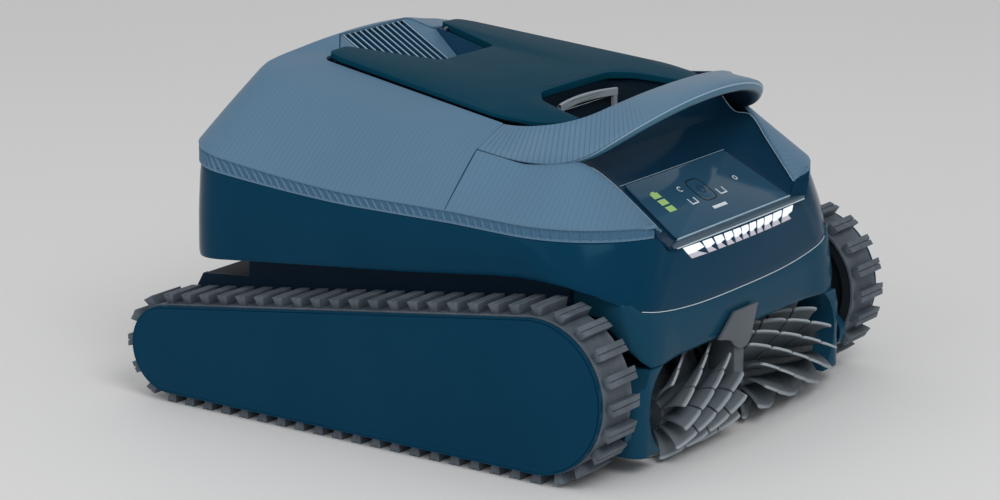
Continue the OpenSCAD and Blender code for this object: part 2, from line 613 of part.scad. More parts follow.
// --- chassis ---
module chassis_body() {
    side = [[-158, 34], [-146, 19], [146, 19], [158, 24], [207, 24], [207, 66], [192, 92], [146, 96], [146, 165],
        [-146, 165], [-146, 112], [-158, 92]];
    difference() {
        union() {
            both() side_view(chassis_hx - 5, chassis_hx) polygon(side);
            slab(-chassis_hx + 1, chassis_hx - 1, -143, 144, 20, 24);
            slab(-chassis_hx + 1, chassis_hx - 1, -143, -140, 20, 100);
            slab(-chassis_hx + 1, chassis_hx - 1, 141, 144, 20, 96);
            slab(-chassis_hx + 1, chassis_hx - 1, 141, 192, 88.5, 91.5);
            both() x_rod(chassis_hx - 10, chassis_hx, front_y, front_z, axle_r + 5);
            both() x_rod(chassis_hx - 8, chassis_hx, back_y, rear_z, axle_r + 5);
        }
        both() x_rod(chassis_hx - 6, chassis_hx + 1, front_y, front_z, axle_r + run);
        both() x_rod(chassis_hx - 9, chassis_hx + 1, back_y, rear_z, axle_r + run);
        both() x_rod(chassis_hx - 6, chassis_hx + 1, motor_y, front_z, motor_shaft_r + run);
        both() for (p = frame_posts) x_rod(chassis_hx - 6, chassis_hx + 1, p[0], p[1], screw_r);
        slab(-inlet[0], inlet[0], inlet[1], inlet[2], 19, 25);
    }
}
module housing_shell() {
    rows = [0, 0.12, 0.5, 0.94, 1];
    bulge = [0, 0.6, 1.2, 0.5, -0.3];
    top_of = function(p) p[1] > seam_y ? band_z(p[1]) - gap : lerp(155.9, 166.6, smooth_step(96, 106, p[0]));
    ring = function(d) let (u = upper_plan(d), l = lower_plan(d), t = upper_plan(0), o = lower_plan(0))
        [for (i = [0 : len(u) - 1])
            let (top = top_of(t[i]), low = max(skirt_z(o[i][1]), seam_at(o[i][0])), c = unit(u[i]))
            [for (k = [0 : len(rows) - 1]) let (q = lerp(u[i], l[i], rows[k]) + c * bulge[k])
                [q[0], q[1], lerp(top, low, rows[k])]]];
    outer = ring(0);
    inner = ring(wall);
    skin(concat(outer, [for (i = [len(outer) - 2 : -1 : 1]) [for (p = outer[i]) flip(p)]]),
        concat(inner, [for (i = [len(inner) - 2 : -1 : 1]) [for (p = inner[i]) flip(p)]]), true);
}
module bumper() {
    high = [[145.4, -186.6, 115.8], [139, -190.5, 114], [131, -194, 112.6], [121, -196.5, 111], [109, -197.5, 109.5]];
    low = [[146, -187.5, 114.5], [150, -194, 101], [143, -200, 87], [130, -203, 77.5], [118, -202.5, 76.5]];
    mid = [for (x = [107, 80, 53, 26, 0]) [x, -199.5 + 2 * pow(x / 107, 2), seam_at(x) - gap]];
    mid_low = [for (p = mid) [p[0], p[1] - 2 * p[0] / 107, bumper_z]];
    rows = [0, 0.1, 0.5, 0.9, 1];
    bulge = [0, 0.8, 1.6, 0.8, 0];
    grid = function(d) [for (i = [0 : 9]) let (h = i < 5 ? high[i] : mid[i - 5], l = i < 5 ? low[i] : mid_low[i - 5],
        c = unit([h[0] * 0.5, -90])) [for (k = [0 : 4]) let (q = lerp(h, l, rows[k]), e = bulge[k] - d)
            [q[0] + c[0] * e, q[1] + c[1] * e, q[2]]]];
    outer = grid(0);
    inner = grid(wall);
    difference() {
        union() {
            skin(concat(outer, reversed([for (r = [for (i = [0 : 8]) outer[i]]) [for (p = r) flip(p)]])),
                concat(inner, reversed([for (r = [for (i = [0 : 8]) inner[i]]) [for (p = r) flip(p)]])));
            both() side_view(wing_x0, chassis_hx) polygon(rounded([[-199, 82, 3], [-196, 14, 7], [-160, 14, 12],
                [-160, 92, 2], [-194, 92, 3]]));
            slab(-wing_x0 - 1, wing_x0 + 1, -198, -158.4, bumper_z + 0.4, bumper_z + 3);
        }
        both() x_rod(wing_x0 - 1, wing_x0 + 7, brush_y - 1, brush_z + 5, 25);
        both() x_rod(wing_x0, chassis_hx + 1, brush_y, brush_z, shaft_r + run);
        both() x_rod(chassis_hx - 9, chassis_hx + 1, idler_y, idler_z, shaft_r + run);
    }
}

// --- top shell and cheeks ---
side_n = 8;
turn_n = 7;
back_n = 8;
// an edge of the top shell from the left seam round the rear to the right seam
function edge(xs, ys, hx, yr, r) =
    let (cx = hx - r, cy = yr - r, half = concat(
        [for (i = [0 : side_n - 1]) lerp([xs, ys], [hx, cy], i / side_n)],
        [for (i = [0 : turn_n]) [cx + r * cos(90 * i / turn_n), cy + r * sin(90 * i / turn_n)]],
        [for (i = [1 : back_n / 2]) [cx * (1 - 2 * i / back_n), yr]]))
    concat(half, [for (i = [len(half) - 2 : -1 : 0]) [-half[i][0], half[i][1]]]);
// the inner edge opens round the head of the ramp
function open_back(p) =
    abs(p[0]) > 70 || p[1] < 118 ? p : abs(p[0]) > 50 ? [p[0] * 1.07, 127] : [p[0] * 1.12, 141];
function crest(p) = p[1] > 150 ? [p[0], p[1] - 14 * arch(p[0])] : p;
module shell() {
    grid = function(d) let (
        k0 = edge(shell_hx - d, seam_y + 8, shell_hx - d, rear_y + 2 - d, tail_r - d),
        k2 = edge(143 - d * 0.6, seam_y, 130 - d * 0.6, 159 - d * 0.6, 25 - d * 0.6),
        k3 = edge(118.5, -66, 90, 124, 14))
        [for (i = [0 : len(k0) - 1]) let (a = k0[i], c = crest(k2[i]), e = open_back(k3[i]), s = d * 0.8,
            b = [a[0], a[1], band_top(a[1]) - s * 0.7], m = [c[0], c[1], crease_z(c[0], c[1]) - s],
            h = lerp(b, m, 0.5) + [0, 0, 0.8])
            [[a[0], a[1], band_z(a[1])], b, h, m, [e[0], e[1], rear_edge_z(e[1]) - s * 1.25]]];
    skin(grid(0), grid(wall));
}
cheek_rail = [[143, -60.3, 220], [139, -78, 216.5], [134.5, -96, 213], [128, -113, 214], [120, -127, 216.5],
    [115, -135, 214], [110.5, -147, 206], [105, -160, 195], [101, -174, 182], [97, -187, 169]];
module cheek() {
    n = 15;
    grid = function(d) [for (i = [0 : n]) let (t = i / n, straight = 0.28, a = 71 * (t - straight) / (1 - straight),
        p = t < straight ? [shell_hx - d, lerp(seam_y + 7.2, -105, t / straight)]
            : [81 + (nose_r - d) * cos(a), -105 - (nose_r - d) * sin(a)],
        c = on_chain(cheek_rail, t) - [d * 0.6, -d * 0.3, d * 0.6], b = [p[0], p[1], band_top(p[1]) - d * 0.5],
        h = lerp(b, c, 0.5) + [0.8, -0.8, 0.8])
        [[p[0], p[1], band_z(p[1])], b, h, c]];
    skin(grid(0), grid(wall));
}
module handle() {
    in_a = [[118.5, -66.8, 236], [128, -95, 237], [118, -124, 242], [85, -130, 249]];
    in_b = [[85, -130, 249], [60, -137, 255], [30, -140, 257], [0, -140, 257]];
    out_a = [[142.3, -60, 221.2], [135.2, -95, 210.8], [124.5, -128, 215], [100, -150, 229]];
    out_b = [[100, -150, 229], [78, -172, 240], [40, -175, 244], [0, -175, 244]];
    profile = [[0, 0.25], [0.07, 0.03], [0.5, -0.12], [0.93, 0.03], [1, 0.25], [1, 0.75], [0.93, 1], [0.07, 1],
        [0, 0.75]];
    thick = function(t) lerp(3.5, 10, smooth_step(0.1, 0.5, t));
    pair = function(t) t < 0.5 ? [curve(in_a, 2 * t), curve(out_a, 2 * t)]
        : [curve(in_b, 2 * t - 1), curve(out_b, 2 * t - 1)];
    half = [for (i = [0 : 16]) let (t = i / 16, p = pair(t), q = pair(min(1, t + 0.02)), o = pair(max(0, t - 0.02)),
        w = p[1] - p[0], up = unit(cross(w, q[0] + q[1] - o[0] - o[1])))
        [for (s = profile) p[0] + w * s[0] + (up[2] < 0 ? up : -up) * s[1] * thick(t)]];
    bar(concat(half, [for (i = [15 : -1 : 0]) [for (p = half[i]) flip(p)]]));
}

// --- control deck ---
module deck() {
    stations = [[112, -105.6, 229.5, 86, -105.6, 231], [112.5, -122, 211.5, 84, -113, 207],
        [111.2, -139, 209.2, 72, fold[0], fold[1]], [103.7, -158, 193.5, 76, -162, 175],
        [95.5, -186, 167, 82, panel_low[0], panel_low[1]], [94, -195.5, 158.5, 86, -196.5, 156.6]];
    grid = function(d) [for (s = stations) let (f = s[2] < 160 ? d * 0.9 : d * 0.45, g = s[2] < 160 ? 0 : d * 0.9)
        [[s[0], s[1] + f, s[2] - g], [s[3], s[4] + f, s[5] - g], [0, s[4] + f, s[5] - g],
            [-s[3], s[4] + f, s[5] - g], [-s[0], s[1] + f, s[2] - g]]];
    difference() {
        skin(grid(0), grid(wall));
        on_panel() translate([button_at[0], button_at[1], -6]) cylinder(r = button_r + 0.3, h = 10);
    }
}
module panel_glass() {
    difference() {
        on_panel() translate([0, 0, lap]) linear_extrude(1.4)
            polygon(rounded([[80.5, 1.5, 3], [70, panel_l - 1.5, 4], [-70, panel_l - 1.5, 4], [-80.5, 1.5, 3]]));
        on_panel() translate([button_at[0], button_at[1], -1]) cylinder(r = button_r + 0.3, h = 5);
    }
}
module button() {
    on_panel() translate([button_at[0], button_at[1], -5]) {
        cylinder(r = button_r, h = 7.4);
        difference() {
            cylinder(r = button_r - 1, h = 7.8);
            translate([0, 0, 6]) cylinder(r = button_r - 2.6, h = 3);
        }
    }
}
module light_base() {
    slab(-88, 88, -191.4, -188.4, 143, 152);
}
module lights() {
    n = 12;
    pitch = 13.4;
    for (i = [0 : n - 1]) let (x = (i - (n - 1) / 2) * pitch, bow = 3 / pow(shell_hx - nose_r, 2))
        translate([x, front_face_y - 4.75 + bow * pow(x, 2), 149.7]) rotate([0, 0, atan(2 * bow * x)])
            rotate([90, 0, 0]) linear_extrude(1) polygon([[-6.6, -5], [4.2, -5], [6.6, 5], [-4.2, 5]]);
}

// --- lid ---
module lid_cover() {
    difference() {
        on_lid_plane() intersection() {
            translate([0, 0, lid_low]) linear_extrude(lid_edge + lid_crown) polygon(lid_outline);
            translate([0, 200, 0]) rotate([90, 0, 0]) linear_extrude(400) polygon(concat([[-120, 0], [120, 0]],
                [for (i = [8 : -1 : -8]) [15 * i, lid_edge + lid_crown * (1 - pow(15 * i / 115, 2))]]));
        }
        both() x_rod(50, 79, hinge_y, hinge_z, hinge_r + run);
    }
}
module rim_band() {
    on_lid_plane() translate([0, 0, 0.3]) linear_extrude(lid_low - 0.3) difference() {
        offset(delta = -1.5) polygon(lid_outline);
        offset(delta = -8) polygon(lid_outline);
    }
}
module hinge_pins() { both() x_rod(54, 78, hinge_y, hinge_z, hinge_r); }
module seat() {
    opening = both_sides([[88, -104.6], [110, -100], [117, -66], [103, 24], [89, 108], [84, 122], [72, 122]]);
    difference() {
        on_lid_plane() translate([0, 0, -8]) linear_extrude(4) difference() {
            polygon(opening);
            polygon(both_sides([[60, -92], [92, -92], [100, -66], [90, 24], [78, 110]]));
            polygon(both_sides([[36, 44], [66, 128]]));
        }
        x_rod(-92, 92, hinge_y, hinge_z, 12);
    }
}

color([0.16, 0.19, 0.22]) centred() chassis_body();  // chassis
color([0.06, 0.2, 0.28]) centred() housing_shell();  // housing
color([0.14, 0.33, 0.41]) centred() bumper();  // front_bumper
color([0.37, 0.5, 0.61]) centred() shell();  // top_shell
color([0.37, 0.5, 0.61]) centred() cheek();  // cheek_left
color([0.37, 0.5, 0.61]) centred() on_right() cheek();  // cheek_right
color([0.4, 0.53, 0.63]) centred() handle();  // carry_handle
color([0.05, 0.15, 0.21]) centred() deck();  // control_deck
color([0.05, 0.12, 0.17]) centred() panel_glass();  // control_panel
color([0.1, 0.12, 0.14]) centred() light_base();  // light_bar
color([0.95, 0.97, 1]) centred() lights();  // light_segments
color([0.3, 0.35, 0.4]) centred() button();  // power_button
color([0.1, 0.14, 0.17]) centred() seat();  // lid_seat
color([0.1, 0.26, 0.33]) centred() lid_cover();  // lid
color([0.05, 0.1, 0.13]) centred() rim_band();  // lid_rim
color([0.7, 0.7, 0.7]) centred() hinge_pins();  // lid_hinge_pins
color([0.22, 0.3, 0.36]) centred() grille();  // outlet_grille
color([0.16, 0.19, 0.22]) centred() duct();  // outlet_duct
color([0.3, 0.33, 0.36]) centred() impeller_wheel();  // impeller
color([0.2, 0.22, 0.24]) centred() power_unit();  // power_unit_case
color([0.62, 0.63, 0.65]) centred() pump();  // pump_motor
color([0.2, 0.45, 0.3]) centred() battery();  // battery_pack
color([0.1, 0.35, 0.2]) centred() board();  // control_board
color([0.62, 0.63, 0.65]) centred() drive_motor();  // drive_motor_left
color([0.62, 0.63, 0.65]) centred() on_right() drive_motor();  // drive_motor_right
color([0.72, 0.6, 0.3]) centred() pinion();  // motor_pinion_left
color([0.72, 0.6, 0.3]) centred() on_right() pinion();  // motor_pinion_right
color([0.85, 0.84, 0.8]) centred() idler();  // idler_gear_left
color([0.85, 0.84, 0.8]) centred() on_right() idler();  // idler_gear_right
color([0.7, 0.7, 0.7]) centred()  // idler_pins
    both() x_rod(chassis_hx - 8.6, guard_x0 - 0.1, idler_y, idler_z, shaft_r);
color([0.1, 0.26, 0.33]) centred() gear_cover();  // gear_cover_left
color([0.1, 0.26, 0.33]) centred() on_right() gear_cover();  // gear_cover_right
color([0.55, 0.6, 0.63]) centred() filter_box();  // filter_basket
color([0.8, 0.83, 0.85]) centred() mesh_walls();  // filter_mesh
color([0.85, 0.88, 0.9]) centred() bail();  // basket_handle
color([0.16, 0.19, 0.22]) centred() track_frame();  // track_frame_left
color([0.16, 0.19, 0.22]) centred() on_right() track_frame();  // track_frame_right
color([0.06, 0.2, 0.28]) centred() cover();  // side_cover_left
color([0.06, 0.2, 0.28]) centred() on_right() cover();  // side_cover_right
color([0.7, 0.7, 0.7]) centred() both() screws();  // cover_screws
color([0.42, 0.42, 0.43]) centred() belt();  // track_belt_left
color([0.42, 0.42, 0.43]) centred() on_right() belt();  // track_belt_right
color([0.25, 0.27, 0.29]) centred() front_wheel();  // front_wheel_left
color([0.25, 0.27, 0.29]) centred() on_right() front_wheel();  // front_wheel_right
color([0.7, 0.7, 0.7]) centred()  // front_axles
    both() x_rod(chassis_hx - 5.5, belt_x1 + gap, front_y, front_z, axle_r);
color([0.25, 0.27, 0.29]) centred() rear_wheel();  // rear_wheel_left
color([0.25, 0.27, 0.29]) centred() on_right() rear_wheel();  // rear_wheel_right
color([0.7, 0.7, 0.7]) centred()  // rear_shaft_left
    x_rod(1, belt_x1 + gap, back_y, rear_z, axle_r);
color([0.7, 0.7, 0.7]) centred() on_right()  // rear_shaft_right
    x_rod(1, belt_x1 + gap, back_y, rear_z, axle_r);
color([0.7, 0.7, 0.7]) centred() front_shaft(shaft_gap_x + 1);  // front_shaft_left
color([0.7, 0.7, 0.7]) centred() on_right() front_shaft(1 - shaft_gap_x);  // front_shaft_right
color([0.37, 0.41, 0.44]) centred()  // front_brush_left
    brush(brush_y, brush_z, brush_r, left_x0, brush_x1, left_paddles, shaft_r + run);
color([0.37, 0.41, 0.44]) centred() on_right()  // front_brush_right
    brush(brush_y, brush_z, brush_r, right_x0, brush_x1, right_paddles, shaft_r + run);
color([0.37, 0.41, 0.44]) centred()  // rear_brush_left
    brush(back_y, rear_z, rear_brush_r, rear_brush_x0, rear_brush_x1, rear_paddles, axle_r + run);
color([0.37, 0.41, 0.44]) centred() on_right()  // rear_brush_right
    brush(back_y, rear_z, rear_brush_r, rear_brush_x0, rear_brush_x1, rear_paddles, axle_r + run);
color([0.62, 0.66, 0.69]) centred() front_bracket();  // front_brush_bracket
color([0.16, 0.19, 0.22]) centred() rear_bracket();  // rear_brush_bracket
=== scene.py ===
"""Looks of a cordless tracked pool cleaner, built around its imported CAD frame.

Metres, +Z up, front towards -Y. Shapes are written in millimetres from the machine's own datum,
and spot() turns them into metres in the frame.
"""

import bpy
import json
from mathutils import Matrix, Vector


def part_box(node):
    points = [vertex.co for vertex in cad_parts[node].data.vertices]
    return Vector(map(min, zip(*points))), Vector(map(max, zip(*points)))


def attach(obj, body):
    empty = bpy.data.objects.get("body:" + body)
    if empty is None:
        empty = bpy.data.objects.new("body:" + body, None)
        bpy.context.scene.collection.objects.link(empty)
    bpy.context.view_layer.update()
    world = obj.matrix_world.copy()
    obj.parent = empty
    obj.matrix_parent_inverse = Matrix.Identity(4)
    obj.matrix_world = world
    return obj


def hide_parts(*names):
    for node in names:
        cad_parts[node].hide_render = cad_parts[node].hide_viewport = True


bl_info = {
    "name": "Pool cleaner",
    "version": (1, 0, 0),
    "blender": (4, 5, 0),
    "location": "3D View > Sidebar > Pool cleaner",
    "description": "Builds the pool cleaner's visible pieces, finishes and stage",
    "category": "Object",
}

import json
import math
from contextlib import contextmanager

import bmesh
import bpy
from mathutils import Matrix, Vector

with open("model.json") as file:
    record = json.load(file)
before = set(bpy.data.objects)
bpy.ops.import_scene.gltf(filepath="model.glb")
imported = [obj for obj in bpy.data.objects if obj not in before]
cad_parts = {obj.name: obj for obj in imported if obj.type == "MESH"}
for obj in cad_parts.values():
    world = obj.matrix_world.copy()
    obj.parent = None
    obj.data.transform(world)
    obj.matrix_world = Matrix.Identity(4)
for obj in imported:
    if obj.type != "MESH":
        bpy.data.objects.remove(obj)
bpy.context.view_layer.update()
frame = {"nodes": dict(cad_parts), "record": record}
NODES = frame["nodes"]
SLOT_OF = {row["node"]: row["material_slot"] for row in frame["record"]["subparts"]}

MM = 0.001
FRONT_AXLE_Y = -147.138
WHEEL_LOW, WHEEL_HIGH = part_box("front_wheel_left")
DATUM = FRONT_AXLE_Y - (WHEEL_LOW.y + WHEEL_HIGH.y) / 2 / MM

# places of the camera in millimetres from the datum, and of the lamps in metres
CAMERA_AT, CAMERA_AIM = (-1923.3, -1318.5, 717.2), (2.6, 21.0, 102.5)
LENS, SENSOR, VIEW_END = 112.4, 36, 50
LAMP_AIM = (0, -0.1, 0.15)
LAMPS = (("key", (-1.4, -2.2, 2.6), 1.6, 37), ("fill", (-2.6, 0.6, 1.6), 1.8, 11))
FLOOR_SIZE = 14


def spot(x, y, z):
    """A place in millimetres from the datum, as metres in the frame."""
    return Vector((x * MM, (y - DATUM) * MM, z * MM))


# --- curves and outlines ---
def smooth_step(a, b, x):
    """0 up to a, 1 from b on, smooth between."""
    t = min(1, max(0, (x - a) / (b - a)))
    return t * t * (3 - 2 * t)


def mixed(a, b, t):
    """A point between a, t = 0, and b, t = 1."""
    return tuple(p + (q - p) * t for p, q in zip(a, b))


def chain(points, t):
    """A point on a chain of straight lines, t from 0 to 1."""
    u = min(max(t, 0), 0.999999) * (len(points) - 1)
    i = int(u)
    return mixed(points[i], points[i + 1], u - i)


def flowing(points, t):
    """A point on a smooth curve through all the points, t from 0 to 1."""
    u = min(max(t, 0), 0.999999) * (len(points) - 1)
    i = int(u)
    f = u - i
    a, b, c, d = (points[min(max(k, 0), len(points) - 1)] for k in (i - 1, i, i + 1, i + 2))
    return tuple(
        q + 0.5 * f * (r - p + f * (2 * p - 5 * q + 4 * r - s + f * (3 * (q - r) + s - p)))
        for p, q, r, s in zip(a, b, c, d)
    )


def bent(points, t):
    """A cubic curve through its end points, shaped by two inner ones."""
    w = ((1 - t) ** 3, 3 * t * (1 - t) ** 2, 3 * t * t * (1 - t), t**3)
    return tuple(sum(k * p[i] for k, p in zip(w, points)) for i in range(len(points[0])))


def bowed(a, middle, b, t):
    """A curve from a to b that passes the middle point half way."""
    control = tuple(2 * m - (p + q) / 2 for p, m, q in zip(a, middle, b))
    return mixed(mixed(a, control, t), mixed(control, b, t), t)


def evenly(path, count, samples=600):
    """Parameters from 0 to 1 that divide a path into equal lengths, and its length."""
    points = [Vector(path(i / samples)) for i in range(samples + 1)]
    run = [0.0]
    for a, b in zip(points, points[1:]):
        run.append(run[-1] + (b - a).length)
    found, k = [], 0
    for i in range(count + 1):
        goal = run[-1] * i / count
        while k < samples - 1 and run[k + 1] < goal:
            k += 1
        step = run[k + 1] - run[k]
        found.append((k + (goal - run[k]) / step) / samples if step else k / samples)
    return found, run[-1]


def rounded(corners, steps=6):
    """An outline from corners (x, y, radius)."""
    out = []
    for i, (x, y, r) in enumerate(corners):
        p = Vector((x, y))
        u = (Vector(corners[i - 1][:2]) - p).normalized()
        v = (Vector(corners[(i + 1) % len(corners)][:2]) - p).normalized()
        half = math.acos(max(-1, min(1, u.dot(v)))) / 2
        centre = p + (u + v).normalized() * (r / math.sin(half))
        a = p + u * (r / math.tan(half)) - centre
        b = p + v * (r / math.tan(half)) - centre
        start = math.atan2(a.y, a.x)
        turn = (math.atan2(b.y, b.x) - start + 3 * math.pi) % (2 * math.pi) - math.pi
        for k in range(steps + 1):
            angle = start + turn * k / steps
            out.append((centre.x + r * math.cos(angle), centre.y + r * math.sin(angle)))
    return out


def oblong(x0, y0, x1, y1):
    return [(x0, y0), (x1, y0), (x1, y1), (x0, y1)]


def arc(cx, cy, r, start, end, n=16):
    """Points on an arc between two angles in degrees."""
    angles = [math.radians(start + (end - start) * i / n) for i in range(n + 1)]
    return [(cx + r * math.cos(a), cy + r * math.sin(a)) for a in angles]


def both_halves(half):
    """An outline from its half on the left, whose rows start with x."""
    return half + [(-x, *rest) for x, *rest in reversed(half)]


# --- body surfaces ---
SHELL_HX, SEAM_Y, REAR_Y, NOSE_R, TAIL_R = 171, -59, 197, 90, 42
FRONT_FACE_Y, SKIRT_HX = -195, 175.5


def climb(y, power):
    """How far the shell's lower line has risen towards the rear, 0 to 1."""
    return (max(0, y - 30) / 165) ** power


def band_low(y):
    """The lower edge of the pocketed band; band_high() is its upper edge."""
    return 171 - 4 * (SEAM_Y - y) / 133 if y < SEAM_Y else 171 + 12 * climb(y, 1.5)


def band_high(y):
    return band_low(y) + 9.5 + 5 * climb(y, 1.5)


def arch(x):
    """1 over the middle of the rear, 0 at its sides."""
    return 1 - smooth_step(40, 100, abs(x))


def crease_height(x, y):
    """The line where the shell's side turns into its top."""
    rise = 14 * climb(y, 0.3) * max(0, 1 - (x / 130) ** 2)
    return 228.4 + 0.1414 * y + rise + (6 * arch(x) * smooth_step(120, 140, y))


# the sloping plane that the lid lies on, and the lid's lower and upper edge over it
LID_Y, LID_Z, LID_SLOPE = -74, 235, 0.112
LID_TILT = math.atan(LID_SLOPE)
LID_LOW, LID_EDGE = 1.6, 4.2


def lid_plane(y):
    return LID_Z + LID_SLOPE * (y - LID_Y)


def rear_edge_height(y):
    """The shell's upper edge: on the lid plane, and raised behind the lid."""
    return lid_plane(y) + 8 * smooth_step(124, 141, y)


RAMP_BACK, RAMP_FRONT = (140, 266), (50, 213)
RAMP_SLOPE = (RAMP_BACK[1] - RAMP_FRONT[1]) / (RAMP_BACK[0] - RAMP_FRONT[0])


def ramp_height(y):
    return RAMP_FRONT[1] + (y - RAMP_FRONT[0]) * RAMP_SLOPE


def notch_hx(y):
    """Half width of the notch in the lid."""
    return 35 + 28 * (y - 50) / 75


# the housing's lower edge along the side as (y, z): it rises forward, then drops to the bumper's corner
SKIRT = [(200, 109), (77, 121), (-15, 129.5), (-59, 134.5), (-103, 139.5), (-128, 141), (-154, 138.5),
         (-172, 133), (-184, 126), (-192, 112), (-200, 100)]


def seam_height(x):
    """The seam between housing and bumper, across the front."""
    return 109 + 14 * (abs(x) / 150) ** 3.2


def half_plan(hx, fx, tail, nose, front, bow):
    """Half of the housing's outline from the rear centre to the front centre."""
    out = [((hx - tail) * i / 8, REAR_Y) for i in range(9)]
    for i in range(1, 13):
        a = math.radians(7.5 * i)
        out.append((hx - tail + tail * math.sin(a), REAR_Y - tail + tail * math.cos(a)))
    out += [mixed((hx, REAR_Y - tail), (fx, front + nose), i / 14) for i in range(1, 15)]
    for i in range(1, 37):
        a = math.radians(2.5 * i)
        out.append((fx - nose + nose * math.cos(a), front + nose - nose * math.sin(a)))
    for i in range(1, 11):
        x = (fx - nose) * (1 - i / 10)
        out.append((x, front - bow * (1 - (x / (fx - nose)) ** 2)))
    return out


def shell_edge(q, start, hx, back, r):
    """An edge of the top shell from the left seam, q = 0, round the rear to the right seam, q = 38."""
    mirrored = q > 19
    q = 38 - q if mirrored else q
    cx, cy = hx - r, back - r
    if q < 8:
        x, y = mixed(start, (hx, cy), q / 8)
    elif q < 15:
        a = math.radians(90 * (q - 8) / 7)
        x, y = cx + r * math.cos(a), cy + r * math.sin(a)
    else:
        x, y = cx * (1 - (q - 15) / 4), back
    return (-x if mirrored else x, y)


def shell_foot(q):
    return shell_edge(q, (SHELL_HX, SEAM_Y + 8), SHELL_HX, REAR_Y + 2, TAIL_R)


def shell_crease(q):
    x, y = shell_edge(q, (143, SEAM_Y), 130, 159, 25)
    return (x, y - 14 * arch(x)) if y > 150 else (x, y)


OPENING_BACK = [(76, 124), (61, 127), (42.6, 141), (21.3, 141), (0, 141)]


def shell_mouth(q):
    x, y = shell_edge(q, (118.5, -66), 90, 124, 14)
    if 15 <= q <= 23:
        x, y = chain(OPENING_BACK, (q - 15) / 4 if q <= 19 else (23 - q) / 4)
        x = -x if q > 19 else x
    return (x, y)


CHEEK_RAIL = [(143, -60.3, 220), (139, -78, 216.5), (134.5, -96, 213), (128, -113, 214), (120, -127, 216.5),
              (115, -135, 214), (110.5, -147, 206), (105, -160, 195), (101, -174, 182), (97, -187, 169)]
CHEEK_STRAIGHT = 0.28


def cheek_foot(t):
    """The cheek's lower edge from the seam, t = 0: straight, then round the nose."""
    if t < CHEEK_STRAIGHT:
        return (SHELL_HX, -51.8 + (-105 + 51.8) * t / CHEEK_STRAIGHT)
    a = math.radians(71 * (t - CHEEK_STRAIGHT) / (1 - CHEEK_STRAIGHT))
    return (81 + NOSE_R * math.cos(a), -105 - NOSE_R * math.sin(a))


def band_path(t):
    """The foot of the shell and cheeks, from the left cheek's front end round the rear to the right's."""
    u = t * 3
    if u < 1:
        return cheek_foot(1 - u)
    if u < 2:
        return shell_foot(38 * (u - 1))
    x, y = cheek_foot(u - 2)
    return (-x, y)


# --- handle ---
# the left half of the inner and the outer rail, as two curves each: foot to elbow, elbow to middle
HANDLE_IN = ([(118.5, -66.8, 236), (128, -95, 237), (118, -124, 242), (85, -130, 249)],
             [(85, -130, 249), (60, -137, 255), (30, -140, 257), (0, -140, 257)])
HANDLE_OUT = ([(142.3, -60, 221.2), (135.2, -95, 210.8), (127.6, -127, 209.5), (112.5, -146, 227.5)],
              [(112.5, -146, 227.5), (98, -163, 242), (55, -175, 257), (0, -175, 257)])
# section: share of the way from the inner to the outer rail, and depth below it
HANDLE_PROFILE = [(0, 0.3), (0.012, 0.12), (0.05, 0.02), (0.25, -0.06), (0.5, -0.09), (0.75, -0.06),
                  (0.95, 0.02), (0.988, 0.12), (1, 0.3), (1, 0.62), (0.97, 0.86), (0.9, 0.98), (0.5, 1.02),
                  (0.1, 0.98), (0.03, 0.86), (0, 0.62)]


def handle_sides(t):
    """The handle's inner and outer rail from its foot, t = 0, to its middle."""
    k, f = (0, 2 * t) if t < 0.5 else (1, 2 * t - 1)
    return Vector(bent(HANDLE_IN[k], f)), Vector(bent(HANDLE_OUT[k], f))


def handle_point(t, v):
    """A point on the handle: t along it from foot to foot, v round its section."""
    mirrored = t > 0.5
    t = 2 * (1 - t) if mirrored else 2 * t
    a, b = handle_sides(t)
    after, before = handle_sides(min(1, t + 0.02)), handle_sides(max(0, t - 0.02))
    down = (b - a).cross(after[0] + after[1] - before[0] - before[1]).normalized()
    down = down if down.z < 0 else -down
    s, d = HANDLE_PROFILE[round(v * len(HANDLE_PROFILE)) % len(HANDLE_PROFILE)]
    p = a + (b - a) * s + down * (d * (3.5 + 6.5 * smooth_step(0.1, 0.5, t)))
    return (-p.x if mirrored else p.x, p.y, p.z)


def handle_path(t):
    return handle_point(t, 0.5)


HANDLE_STEPS = 120
HANDLE_RUN = evenly(handle_path, HANDLE_STEPS)[1]


# --- tracks ---
BELT_T, LUG_H, BELT_PITCH, WHEELBASE = 2.5, 7.5, 17.66, 336
FRONT_LUGS, REAR_LUGS = 20, 12
FRONT_R, REAR_R = FRONT_LUGS * BELT_PITCH / (2 * math.pi), REAR_LUGS * BELT_PITCH / (2 * math.pi)
NEUTRAL = BELT_T / 2
FRONT_Z, REAR_Z = FRONT_R + NEUTRAL + LUG_H, REAR_R + NEUTRAL + LUG_H
REAR_AXLE_Y = FRONT_AXLE_Y + WHEELBASE
BELT_X0, BELT_X1, COVER_X0, COVER_X1 = 160.2, 196.2, 196.6, 200
# the angle at which the belt's upper run leaves the wheels, and the length of a straight run
TOP_A = (math.pi / 2 - math.atan((FRONT_Z - REAR_Z) / WHEELBASE)
         - math.asin((FRONT_R - REAR_R) / math.hypot(WHEELBASE, FRONT_Z - REAR_Z)))
RUN = math.sqrt(WHEELBASE**2 + (FRONT_Z - REAR_Z) ** 2 - (FRONT_R - REAR_R) ** 2)


def on_front(a, d=0, wheel=(FRONT_AXLE_Y, FRONT_Z, FRONT_R)):
    """The place (y, z, a) at angle a on the front wheel, d outside the belt's neutral line."""
    y, z, r = wheel
    return (y + (r + d) * math.cos(a), z + (r + d) * math.sin(a), a)


def on_rear(a, d=0):
    return on_front(a, d, (REAR_AXLE_Y, REAR_Z, REAR_R))


